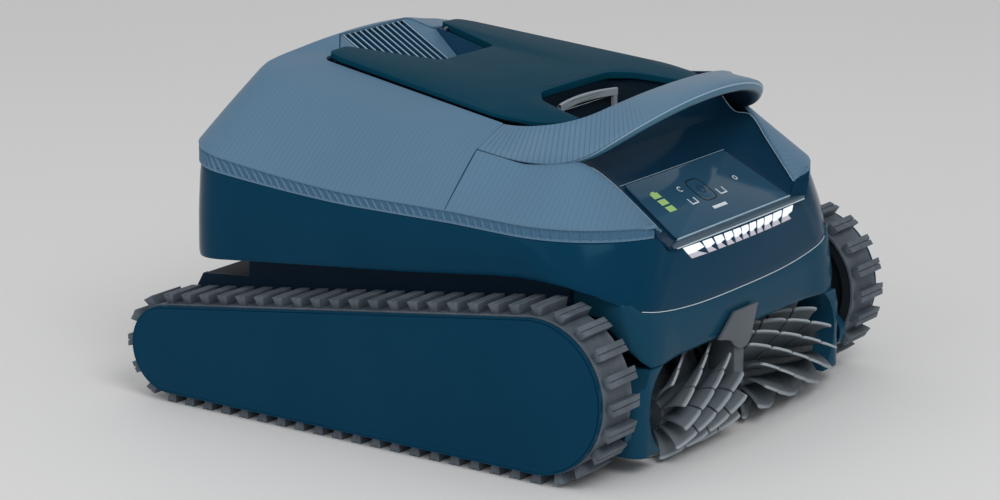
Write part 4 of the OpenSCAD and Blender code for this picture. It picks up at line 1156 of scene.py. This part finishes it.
# the wing in plan, and the outlines (x, z) cut out of it with their reach in y
WING = [(112, -203, 1), (148, -203, 12), (148, -160, 4), (112, -160, 1)]
WING_Z = (14, 77)
WING_CUTS = ((arc(96, 45, 38, 0, 356.25, 95), -232, -132),
             ([(133, 79), (139, 66), (150, 60), (150, 79)], -206, -158))
BUMPER_FLOOR, BUMPER_FLOOR_Z = oblong(-119, -197.5, 119, -158.5), (81.5, 84)


class CLEANER_OT_bumper(bpy.types.Operator):
    """Model the front bumper, its two wings and a painted highlight along the seam over it"""

    bl_idname = "cleaner.bumper"
    bl_label = "Front bumper"

    def execute(self, context):
        plan = BUMPER_CORNER + [(x, -199.5 + 2 * (x / 107) ** 2) for x in (92, 69, 46, 23, 0)]
        high = BUMPER_SIDE + [(x, y, seam_height(x) + (4 if x > 133 else -0.4)) for x, y in plan]
        low = BUMPER_LOW + [(x, y - 3 * x / 107, BUMPER_FOOT) for x, y in plan[5:]]

        def place(u, v):
            side, t = halves(u)
            a, b = flowing(high, t), chain(low, t)
            level, bulge = BUMPER_STEPS[round(v * 8)]
            x, y, z = mixed(a, b, level)
            out = Vector((a[0] * 0.5, -90)).normalized() * bulge
            return (side * (x + out.x), y + out.y, z)

        skin = lofted("bumper_skin", 88, 8, place)
        walled(skin, BUMPER_WALL)
        wing = prism("wing", rounded(WING), *WING_Z)
        for outline, near, far in WING_CUTS:
            cut(wing, prism("opening", outline, near, far, front_lay))
        ease(wing, 0.8, 2, 40)
        floor = prism("bumper_floor", BUMPER_FLOOR, *BUMPER_FLOOR_Z)
        wings = joined([wing, mirrored(wing, "other_wing"), floor], "bumper_wings")
        settle(wings, "bumper_plastic", angle=35)
        settle(skin, "bumper_plastic", ["front_bumper"], 35)

        # a thin bright line along the seam: a painted highlight
        def seam(u, v):
            side, t = halves(u)
            x, y, z = flowing(high[4:], t)
            return (side * x, y - 0.25 + 0.9 * v, z + 0.45 - 0.05 * v)

        line = threaded(lofted("seam_line", 80, 1, seam))
        settle(line, "bumper_plastic", angle=40, material="seam_light")
        return {"FINISHED"}


# the left half of the deck from the rear: its rail, and the foot of its sloping side
DECK_RAIL = [(112, -105.6, 229.5), (112.5, -122, 211.5), (111.2, -139, 209.2), (103.7, -158, 193.5),
             (95.5, -186, 167)]
DECK_FOOT = [(86, -105.6, 231), (84, -113, 207), (72, -137, 189.5), (76, -162, 175), (82, -191, 158)]
CORNER_IN = [(96.6, -185.8, 169.5), (95, -186, 166.8), (88.5, -188.4, 162.3), (81, -191, 157.6)]
CORNER_OUT = [(110.6, -190.4, 176.2), (108, -191.9, 167), (102, -194.2, 162), (96, -196.2, 156)]
LIP = [(-94.5, -194.6, 1.5), (-93, -197.2, 1.5), (0, -197.6, 200), (93, -197.2, 1.5), (94.5, -194.6, 1.5),
       (82, -190.4, 3), (-82, -190.4, 3)]
LIP_LINE = [(-91, -197.1), (0, -197.7), (91, -197.1), (91, -198), (0, -198.6), (-91, -198)]
LIP_Z, LIP_LINE_Z = (156.3, 158.4), (156, 156.7)
# share of the deck's half width that is flat, and the bend of its side as shares of the way to the rail
FLAT_SHARE, SIDE_BEND = 0.4, (0.55, 0.5, 0.12)

# the folded panel: its upper edge and its lower edge as (y, z), its slope and its length
FOLD, PANEL_LOW = (-137, 189.5), (-191, 158)
PANEL_A = math.atan2(FOLD[1] - PANEL_LOW[1], FOLD[0] - PANEL_LOW[0])
PANEL_L = math.hypot(FOLD[0] - PANEL_LOW[0], FOLD[1] - PANEL_LOW[1])


def panel_lay(x, along, out):
    """Across the panel, up the panel from its lower edge, and out of it."""
    return (x, PANEL_LOW[0] + along * math.cos(PANEL_A) - out * math.sin(PANEL_A),
            PANEL_LOW[1] + along * math.sin(PANEL_A) + out * math.cos(PANEL_A))


class CLEANER_OT_deck(bpy.types.Operator):
    """Model the control deck with its corners, its lip and painted highlights along its edges"""

    bl_idname = "cleaner.deck"
    bl_label = "Control deck"

    def execute(self, context):
        def place(u, v):
            rail, foot = chain(DECK_RAIL, v), chain(DECK_FOOT, v)
            side = 1 if u * 2 >= 1 else -1
            k = abs(u * 2 - 1)
            if k < FLAT_SHARE:
                return (side * foot[0] * k / FLAT_SHARE, foot[1], foot[2])
            t = (k - FLAT_SHARE) / (1 - FLAT_SHARE)
            elbow = tuple(f + share * (r - f) for f, r, share in zip(foot, rail, SIDE_BEND))
            x, y, z = mixed(mixed(foot, elbow, t), mixed(elbow, rail, t), t)
            return (side * x, y, z)

        deck = lofted("deck_skin", 50, (len(DECK_RAIL) - 1) * 6, place)
        walled(deck, DECK_WALL, lambda at: Vector((0, -0.4, 1)))
        settle(deck, "deck_plastic", ["control_deck"], 24)
        corner = lofted("deck_corner_left", 12, 4,
                        lambda u, v: mixed(flowing(CORNER_IN, u), flowing(CORNER_OUT, u), v))
        walled(corner, CORNER_WALL, lambda at: Vector((0, -1, 0.3)))
        settle_both(corner, "deck_plastic", angle=40)

        # thin bright lines along the deck's rails and its fold: painted highlights on these edges
        def rail_line(u, v):
            x, y, z = flowing(DECK_RAIL, 0.12 + 0.88 * u)
            return (x - 1.5 + 0.6 * v, y, z + 0.9)

        def fold_line(u, v):
            return panel_lay(146 * u - 73, PANEL_L - 0.1 + 0.4 * v, 0.4)

        edge = lofted("deck_line_left", 48, 1, rail_line)
        for line in (edge, mirrored(edge, "deck_line_right"), lofted("fold_line", 8, 1, fold_line)):
            settle(threaded(line), "deck_plastic", angle=40, material="edge_bright")
        lip = prism("deck_lip", rounded(LIP, 4), *LIP_Z)
        ease(lip, 0.5, 2)
        settle(lip, "deck_plastic", angle=30, material="bezel_grey")
        # a thin bright line under the lip: a painted highlight
        line = prism("lip_line", LIP_LINE, *LIP_LINE_Z)
        settle(line, "deck_plastic", angle=30, material="seam_light")
        return {"FINISHED"}


BUTTON_AT, BUTTON_R, BUTTON_DEPTH = (-1, 34.5), 10, 4
GLASS_LOW, GLASS_HIGH, EDGE_LOW, EDGE_HIGH = 0.35, 1.7, 0.3, 2.0
MARK_H, RING_H, BUTTON_H = 0.12, 0.15, 0.3
# the charge bars: their ends, their lower edges, their height and the height of the last one's tip
BAR_X0, BAR_X1, BARS_Y, BAR_H, BAR_TIP = -57, -47.5, (25, 32.6, 40.2), 5.6, 1.4


def hoop(cx, cy, r, width, start, end):
    """An arc-shaped band."""
    return arc(cx, cy, r + width / 2, start, end) + arc(cx, cy, r - width / 2, end, start)


def bracket(cx, cy, w=4.5, h=3.2, t=1.1):
    """A U-shaped mark, open at the top."""
    return [(cx - w, cy + h), (cx - w, cy - h), (cx + w, cy - h), (cx + w, cy + h), (cx + w - t, cy + h),
            (cx + w - t, cy - h + t), (cx - w + t, cy - h + t), (cx - w + t, cy + h)]


def raised(outlines, name, low=GLASS_HIGH):
    """Thin marks of one name, on the glass or on the button."""
    return joined([prism("mark", outline, low, low + MARK_H, panel_lay) for outline in outlines], name)


def frame_round(grow, radius):
    """A rounded outline round the button."""
    (x, y), w, h = BUTTON_AT, 9 + grow, 11 + grow
    return rounded([(x + a * w, y + b * h, radius) for a, b in ((1, 1), (-1, 1), (-1, -1), (1, -1))])


def closed_ring(name, outside, inside):
    """A thin frame on the panel between two outlines of as many points each."""
    low, high = GLASS_HIGH, GLASS_HIGH + RING_H
    rows = [(outside, low), (outside, high), (inside, high), (inside, low), (outside, low)]
    n = len(outside)

    def place(u, v):
        outline, out = rows[round(v * 4)]
        return panel_lay(*outline[round(u * n) % n], out)

    return close_up(lofted(name, n, 4, place))


class CLEANER_OT_controls(bpy.types.Operator):
    """Model the glass panel with its marks and the power button"""

    bl_idname = "cleaner.controls"
    bl_label = "Control panel"

    def execute(self, context):
        def settle_marks(piece, colour, slot="panel_gloss", body="body"):
            settle(piece, slot, angle=30, material=colour, body=body)

        corners = both_halves([(80.5, 1.5, 3), (70, PANEL_L - 1.5, 4)])
        glass = prism("panel_glass", rounded(corners), GLASS_LOW, GLASS_HIGH, panel_lay)
        ease(glass, 0.35, 2)
        settle(glass, "panel_gloss", ["control_panel"], 30)
        # a bright line round the glass: a painted highlight on its edge
        corners = both_halves([(80.6, 0.2, 0.5), (80.6, 1.4, 0.5)])
        edge = prism("panel_edge", rounded(corners, 2), EDGE_LOW, EDGE_HIGH, panel_lay)
        settle_marks(edge, "edge_bright")

        bars = [oblong(BAR_X0, low, BAR_X1, low + BAR_H) for low in BARS_Y]
        top = BARS_Y[-1] + BAR_H
        bars[-1][3:3] = [(-50, top), (-50, top + BAR_TIP), (-54.5, top + BAR_TIP), (-54.5, top)]
        settle_marks(raised(bars, "charge_bars"), "mark_green")
        x, y = BUTTON_AT
        marks = (bracket(x - 21, y - 7.1), bracket(x + 19, y - 7.1),
                 oblong(x - 9.2, y - 20.5, x + 9.2, y - 17.6),
                 hoop(x - 20.4, y + 6.7, 2.4, 0.7, 30, 300), hoop(x + 48, y - 0.5, 2, 0.7, 0, 359))
        settle_marks(raised(marks, "panel_marks"), "mark_white")
        settle_marks(closed_ring("panel_ring", frame_round(1, 6), frame_round(0, 5)), "mark_dark")

        key = prism("power_key", arc(x, y, BUTTON_R - 1.4, 0, 352.5, 47), GLASS_HIGH - BUTTON_DEPTH,
                    GLASS_HIGH + BUTTON_H, panel_lay)
        ease(key, 0.25, 3)
        settle(key, "button_plastic", ["power_button"], 30, "panel_gloss", "power_button")
        sign = (hoop(x, y, 3.6, 0.8, 125, 415), oblong(x - 0.4, y + 1, x + 0.4, y + 4.8))
        sign = raised(sign, "key_sign", GLASS_HIGH + BUTTON_H)
        settle_marks(sign, "mark_dark", "button_plastic", "power_button")
        return {"FINISHED"}


# left end, right end and lean towards the foot of each light segment
LIGHT_TOPS = [(-82, -61, 11), (-57.5, -46, 8), (-42.6, -32.3, 6.6), (-29.2, -19.3, 5.2), (-16.6, -7.3, 4),
              (-4.7, 4, 2.4), (6.9, 15.2, 1.2), (18.4, 27, 0.3), (29.8, 40.6, -0.5), (43.5, 55.8, -1.7),
              (59.5, 74.5, -3.2)]
LIGHT_Y, LIGHT_Z, LIGHT_BOW = FRONT_FACE_Y - 4.1, 149.7, 3 / 81**2


class CLEANER_OT_lights(bpy.types.Operator):
    """Model the row of leaning, notched light segments"""

    bl_idname = "cleaner.lights"
    bl_label = "Light row"

    def execute(self, context):
        segments = []
        for left, right, lean in LIGHT_TOPS:
            x, half = (left + right) / 2, (right - left) / 2
            outline = [(lean - half, -5), (half + lean * 0.9, -5), (half * 0.1 + lean * 0.5, -0.6),
                       (half + lean * 0.5, 0.6), (half, 5), (-half, 5)]
            segment = prism("segment", outline, 0, 1.0, lambda a, b, c: (a, -c, b))
            ease(segment, 0.2, 2)
            turn = math.atan(2 * LIGHT_BOW * x)
            segment.data.transform(set_down(x, LIGHT_Y + LIGHT_BOW * x * x, LIGHT_Z, "Z", turn))
            segments.append(segment)
        settle(joined(segments, "light_row"), "light_lens", ["light_segments"], 30)
        return {"FINISHED"}


LID_CORNERS = [(46, -48.8, 20), (63, -62, 14), (73, -88, 40), (78, -104.5, 2), (107, -104, 28),
               (116, -58, 60), (89, 108, 14), (84, 121, 8), (62, 121, 4), (35, 50, 10)]
LID_HX, LID_INSET, BAND_INSET, LID_BEND = 115, 0.1, 1.4, 10.5
# from the recess's rear wall to its front: y, depth under the lid plane, and half width
RECESS = [(-48.5, -1, 50), (-51, 7, 55), (-58, 14, 61), (-70, 18, 67), (-84, 18, 72), (-95, 13, 75),
          (-102, 6, 77), (-105, 0, 78)]
BAR_SECTION = [(-1.5, -2.6), (-0.9, -3), (0.9, -3), (1.5, -2.6), (1.5, 2.6), (0.9, 3), (-0.9, 3),
               (-1.5, 2.6)]
BAR_HX = 39
LEG_X, LEG_Z = 37, (214.3, 232)


def lid_lay(x, y, out):
    """Plan coordinates with the height measured from the lid plane."""
    along, up, side = y - LID_Y, math.cos(LID_TILT), math.sin(LID_TILT)
    return (x, LID_Y + along * up - out * side, LID_Z + along * side + out * up)


def shrunk(outline, by):
    """An outline moved inwards."""
    out = []
    for i, p in enumerate(outline):
        a, b = Vector(outline[i - 1]), Vector(outline[(i + 1) % len(outline)])
        along = (b - a).normalized()
        out.append((p[0] - along.y * by, p[1] + along.x * by))
    return out


class CLEANER_OT_lid(bpy.types.Operator):
    """Model the crowned lid, its dark rim and the recess with the basket's bar"""

    bl_idname = "cleaner.lid"
    bl_label = "Lid"

    def execute(self, context):
        crown = context.scene.cleaner_shape.lid_crown / MM
        outline = rounded(both_halves(LID_CORNERS), 10)
        lid = prism("lid_cover", shrunk(outline, LID_INSET), LID_LOW, LID_EDGE)
        bends = [((i * LID_BEND * MM, 0, 0), (1, 0, 0)) for i in range(-10, 11)]
        bends.append((spot(0, -43, 0), (0, 1, 0)))
        with edit(lid):
            for at, across in bends:
                bpy.ops.mesh.select_all(action="SELECT")
                bpy.ops.mesh.bisect(plane_co=at, plane_no=across)
        for vertex in lid.data.vertices:
            x, y, z = (vertex.co - spot(0, 0, 0)) / MM
            if z > LID_LOW + 1:
                z += crown * (1 - (x / LID_HX) ** 2)
            vertex.co = spot(*lid_lay(x, y, z))
        ease(lid, 1.1, 4, 50)
        settle(lid, "lid_plastic", ["lid"], 30, body="lid")
        band = prism("lid_band", shrunk(outline, BAND_INSET), 0.3, LID_LOW, lid_lay)
        settle(band, "rim_plastic", ["lid_rim"], 30, body="lid")
        top = LID_EDGE + crown
        edge = rounded([(x, y, 0.35) for x, y in oblong(-30, -43.4, 30, -42.5)], 3)
        line = prism("lid_line", edge, top - 0.3, top + 0.05, lid_lay)
        settle(line, "lid_plastic", angle=30, material="lid_rim_light", body="lid")

        def bowl(u, v):
            y, depth, _ = flowing(RECESS, v)
            x = (2 * u - 1) * (chain(RECESS, v)[2] + 1)
            return (x, y, lid_plane(y) - depth * (1 - smooth_step(0.72, 1, abs(2 * u - 1))))

        recess = lofted("recess_bowl", 48, 28, bowl)
        walled(recess, RECESS_WALL, lambda at: Vector((0, 0, 1)))
        settle(recess, "rim_plastic", angle=40, material="recess_dark")

        def rail(u, v):
            x = (2 * u - 1) * BAR_HX
            dy, dz = BAR_SECTION[round(v * 8) % 8]
            return (x, -57.5 - 4 * (x / BAR_HX) ** 2 + dy, 233.2 - 1.2 * (x / BAR_HX) ** 2 + dz)

        parts = [capped(lofted("basket_bar", 40, 8, rail))]
        parts += [prism("leg", oblong(x - 2, -62.5, x + 2, -59.5), *LEG_Z) for x in (-LEG_X, LEG_X)]
        settle(joined(parts, "basket_bar"), "handle_light", ["basket_handle"], 35)
        return {"FINISHED"}


SLATS, SLAT_PITCH, SLAT_END, SLAT_DEPTH = 12, 7, 140, 8
CROSS_RAILS_Y = (72, 100, 128)
# the ramp's outline as (y, half width), from its rear corner forward
RAMP_EDGE = [(140.3, 41.6), (134, 50.6), (127, 60), (121.5, 61), (105, 54.6), (85, 47.2), (66, 40.2),
             (51, 34.8)]
NOTCH_EDGE = [(140.3, 41.6), (127, 60), (121.5, 61), (51, 34.8), (51, 0)]
LID_BACK_Y = 121.5


def on_ramp(y, low, high):
    """A side view along a slat from y to its end, between two heights over the ramp."""
    return [(y, ramp_height(y) + low), (SLAT_END, ramp_height(SLAT_END) + low),
            (SLAT_END, ramp_height(SLAT_END) + high), (y, ramp_height(y) + high)]


class CLEANER_OT_outlet(bpy.types.Operator):
    """Model the outlet ramp: its slats with painted highlights on their tops, its light side facets and the
    dark notch walls
    """

    bl_idname = "cleaner.outlet"
    bl_label = "Outlet grille"

    def execute(self, context):
        half = context.scene.cleaner_shape.slat_thickness / MM / 2
        slats, tops = [], []
        for i in range(SLATS):
            x = (i - (SLATS - 1) / 2) * SLAT_PITCH
            y = 52 + max(0, abs(x) - 31) * 2.7  # the outer slats start further back
            slats.append(prism("slat", on_ramp(y, -SLAT_DEPTH, -0.6), x - half, x + half, side_lay))
            ease(slats[-1], 0.35, 2)
            # a thin light strip on each slat's top edge: a painted highlight
            tops.append(prism("top", on_ramp(y, -0.7, -0.25), x - half, x + half, side_lay))
        for y in CROSS_RAILS_Y:
            w = min(42, notch_hx(y) - 3) - 1
            z = ramp_height(y)
            end = [(y - 1.5, z - 8.6), (y + 1.5, z - 7), (y + 1.5, z - 4.4), (y - 1.5, z - 6)]
            slats.append(prism("rail", end, -w, w, side_lay))
        settle(joined(slats, "outlet_slats"), "grille_plastic", ["outlet_grille"], 30)
        settle(joined(tops, "slat_tops"), "grille_plastic", angle=30, material="slat_light")

        def facet(u, v):
            y, edge = chain(RAMP_EDGE, u)
            inner = min(40.3, edge - 1.2)
            behind = rear_edge_height(y) - 0.4 - ramp_height(y)
            lift = (behind if y > LID_BACK_Y else 0.3) * v
            return (inner + (edge - 0.6 - inner) * v, y, ramp_height(y) - 0.4 + lift)

        side = lofted("ramp_side_left", 56, 6, facet)
        walled(side, RAMP_WALL, lambda at: Vector((0, 0, 1)))
        settle_both(side, "grille_plastic", angle=40, material="shell_plastic")

        full = [(x, y) for y, x in NOTCH_EDGE] + [(-x, y) for y, x in reversed(NOTCH_EDGE[:-1])]

        def wall(u, v):
            x, y = chain(full, u)
            top = rear_edge_height(y) - 1.0 if y > LID_BACK_Y else lid_plane(y) + 1.2
            low = min(ramp_height(y) - SLAT_DEPTH, top - 1)
            return (x * 0.995, y + (0.4 if y < 51.5 else 0), top + (low - top) * v)

        notch = lofted("notch_wall", 96, 3, wall)
        walled(notch, NOTCH_WALL, lambda at: spot(0, 96, 0) - Vector((at.x, at.y, 0)))
        settle(notch, "grille_plastic", angle=40)
        return {"FINISHED"}


BELT_CHAMFER = 0.4
LUG_SLOPE = 1.8
# the belt's inner tooth in side view, standing on the neutral line
TOOTH = [(-2.6, 0.3 - NEUTRAL), (-1.7, -NEUTRAL - 2), (1.7, -NEUTRAL - 2), (2.6, 0.3 - NEUTRAL)]
TOOTH_X = (173.2, 183.2)
# the side cover's groove and the field inside it: width and rise in metres
COVER_INSETS = ((0.0022, -0.0009), (0.0012, 0.0008))


class CLEANER_OT_tracks(bpy.types.Operator):
    """Model the lugged belts and the side covers"""

    bl_idname = "cleaner.tracks"
    bl_label = "Tracks"

    def execute(self, context):
        flat = NEUTRAL - BELT_CHAMFER
        quarter = [(BELT_X0, flat), (BELT_X0 + BELT_CHAMFER, NEUTRAL), (BELT_X1 - BELT_CHAMFER, NEUTRAL),
                   (BELT_X1, flat)]
        section = [(x, -d) for x, d in quarter] + quarter[::-1]
        loops = {d: track_loop(d, 100) for _, d in section}
        count = len(loops[flat])

        def place(u, v):
            x, d = section[round(v * 8) % 8]
            return (x, *loops[d][round(u * count) % count])

        belt = close_up(lofted("belt", count, 8, place), BELT_DOUBLES)
        groove = context.scene.cleaner_shape.lug_groove / MM
        high = NEUTRAL + LUG_H

        def lug_lay(y, z, x):
            """The lug's outer end slopes back towards the belt."""
            back = LUG_SLOPE * (high - z) / LUG_H if x > (BELT_X0 + BELT_X1) / 2 else 0
            return side_lay(y, z, x - back)

        half = [(2.8, NEUTRAL - 0.3), (4.2, high - 2.2), (4.7, high), (0.45, high), (0.35, high - groove)]
        lug = prism("lug", both_halves(half), BELT_X0 + 1.5, BELT_X1 - 0.6, lug_lay)
        ease(lug, 0.25, 2, 50)
        tooth = prism("tooth", TOOTH, *TOOTH_X, side_lay)
        ease(tooth, 0.3, 2, 40)
        pieces = [belt]
        for part in (lug, tooth):
            for y, z, a in lug_places():
                pieces.append(copied(part, part.name, set_down(0, y, z, "X", a - math.pi / 2)))
            bpy.data.objects.remove(part)
        settle_both(joined(pieces, "belt_left"), "track_rubber", ["track_belt_left"], 35)

        cover = close_up(prism("cover_left", track_loop(NEUTRAL - 0.7, 64), COVER_X0, COVER_X1, side_lay))
        with edit(cover, select=False) as mesh:
            for f in mesh.faces:
                f.select = f.normal.x > 0.9
            bmesh.update_edit_mesh(cover.data)
            for wide, rise in COVER_INSETS:
                bpy.ops.mesh.inset(thickness=wide, depth=rise)
        ease(cover, 0.5, 3, 40)
        settle_both(cover, "housing_plastic", angle=30)
        return {"FINISHED"}


BRUSH_Y, BRUSH_Z, BRUSH_R, CORE_R = -185.038, 36, 35.5, 14
FINS, SLIT, TWIST, PADDLE_TWIST = 12, 1.7, 17, 15
BRACKET_PLATE = [(-44, 78.5), (-22, 95), (11, 95), (3.5, 76), (1, 69), (-5, 65), (-15, 65), (-22, 69),
                 (-27, 74), (-33, 76)]
PLATE_Y, ARM_Z = (-206, -203), (36, 80.8)
# from x, to x, and radius
BEARINGS = ((-21, -1, 9), (-22.5, -19, 11), (-3, 0.5, 11))


def paddle(r, length, thickness):
    """One cupped paddle along X, from its root at the core to its tip, whose corners are rounded."""
    root, tip = CORE_R - 1.5, r - 0.9

    def place(u, v):
        radius = root + (tip - root) * v
        lean = 2.5 * v**1.6 - 1.6 * math.sin(math.pi * v)
        angle = math.radians(PADDLE_TWIST * u) + lean / radius
        radius -= 0.7 * (2 * abs(u - 0.5)) ** 6 * v
        return (length * u, radius * math.cos(angle), radius * math.sin(angle))

    blade = lofted("paddle", 8, 8, place)
    apply(blade, "SOLIDIFY", thickness=thickness, offset=0, thickness_clamp=0)
    return blade


def roller(thickness, name, y, z, r, x0, x1, cells):
    """A brush half: rows of paddles wound round a core, each row turned from the last."""
    cell = (x1 - x0 + SLIT) / cells
    blade = paddle(r, cell - SLIT, thickness)
    core = rod(CORE_R - 0.4, x0 + 0.5, x1 - 0.5, y, z)
    ease(core, 1.2, 3, 50)
    for corner in core.data.uv_layers[0].data:
        corner.uv = (0, 0.05)
    pieces = [core]
    for k in range(cells):
        for i in range(FINS):
            turn = math.radians(TWIST * k + 360 / FINS * i)
            pieces.append(copied(blade, "paddle", set_down(x0 + k * cell, y, z, "X", turn)))
    bpy.data.objects.remove(blade)
    return joined(pieces, name)


class CLEANER_OT_brushes(bpy.types.Operator):
    """Model the front and rear brush rollers and the front bracket's plate"""

    bl_idname = "cleaner.brushes"
    bl_label = "Brushes"

    def execute(self, context):
        thick = context.scene.cleaner_shape.paddle_thickness
        left = roller(thick, "front_roller_left", BRUSH_Y, BRUSH_Z, BRUSH_R, 3, 110, 5)
        settle(left, "brush_rubber", ["front_brush_left"], 45, body="front_brush_left")
        half = roller(thick, "half", BRUSH_Y, BRUSH_Z, BRUSH_R, 25, 110, 4)
        right = mirrored(half, "front_roller_right")
        bpy.data.objects.remove(half)
        settle(right, "brush_rubber", ["front_brush_right"], 45, body="front_brush_right")
        rear = roller(thick, "rear_roller_left", REAR_AXLE_Y, REAR_Z, REAR_Z - 0.5, 9, 140, 6)
        settle_both(rear, "brush_rubber", ["rear_brush_left"], 45, body="rear_wheel_left")

        plate = prism("bracket_plate", BRACKET_PLATE, *PLATE_Y, front_lay)
        ease(plate, 0.7, 3, 30)
        arm = prism("arm", oblong(-18, -203.2, -4, BRUSH_Y + 4), *ARM_Z)
        ease(arm, 0.8, 2)
        rings = [rod(r, x0, x1, BRUSH_Y, BRUSH_Z) for x0, x1, r in BEARINGS]
        for ring in rings:
            ease(ring, 0.6, 2, 50)
        bracket_piece = joined([plate, arm, *rings], "front_bracket")
        settle(bracket_piece, "bracket_plastic", ["front_brush_bracket"], 35)
        return {"FINISHED"}


# --- panel and registration ---
STEPS = ("stage", "finishes", "shell", "handle", "housing", "bumper", "deck", "controls", "lights", "lid",
         "outlet", "tracks", "brushes")


class CLEANER_PT_panel(bpy.types.Panel):
    """The cleaner's steps, sizes and colours"""

    bl_label = "Pool cleaner"
    bl_idname = "CLEANER_PT_panel"
    bl_space_type = "VIEW_3D"
    bl_region_type = "UI"
    bl_category = "Pool cleaner"

    def draw(self, context):
        for settings in (context.scene.cleaner_shape, context.scene.cleaner_colours):
            for name in settings.__annotations__:
                self.layout.prop(settings, name)
        for step in STEPS:
            self.layout.operator("cleaner." + step)


CLASSES = (CLEANER_PG_shape, CLEANER_PG_colours, CLEANER_OT_stage, CLEANER_OT_finishes, CLEANER_OT_shell,
           CLEANER_OT_handle, CLEANER_OT_housing, CLEANER_OT_bumper, CLEANER_OT_deck, CLEANER_OT_controls,
           CLEANER_OT_lights, CLEANER_OT_lid, CLEANER_OT_outlet, CLEANER_OT_tracks, CLEANER_OT_brushes,
           CLEANER_PT_panel)


def register():
    for cls in CLASSES:
        bpy.utils.register_class(cls)
    bpy.types.Scene.cleaner_shape = bpy.props.PointerProperty(type=CLEANER_PG_shape)
    bpy.types.Scene.cleaner_colours = bpy.props.PointerProperty(type=CLEANER_PG_colours)


def unregister():
    del bpy.types.Scene.cleaner_colours
    del bpy.types.Scene.cleaner_shape
    for cls in reversed(CLASSES):
        bpy.utils.unregister_class(cls)


def main():
    register()
    for step in STEPS:
        getattr(bpy.ops.cleaner, step)()


if __name__ == "__main__":
    main()
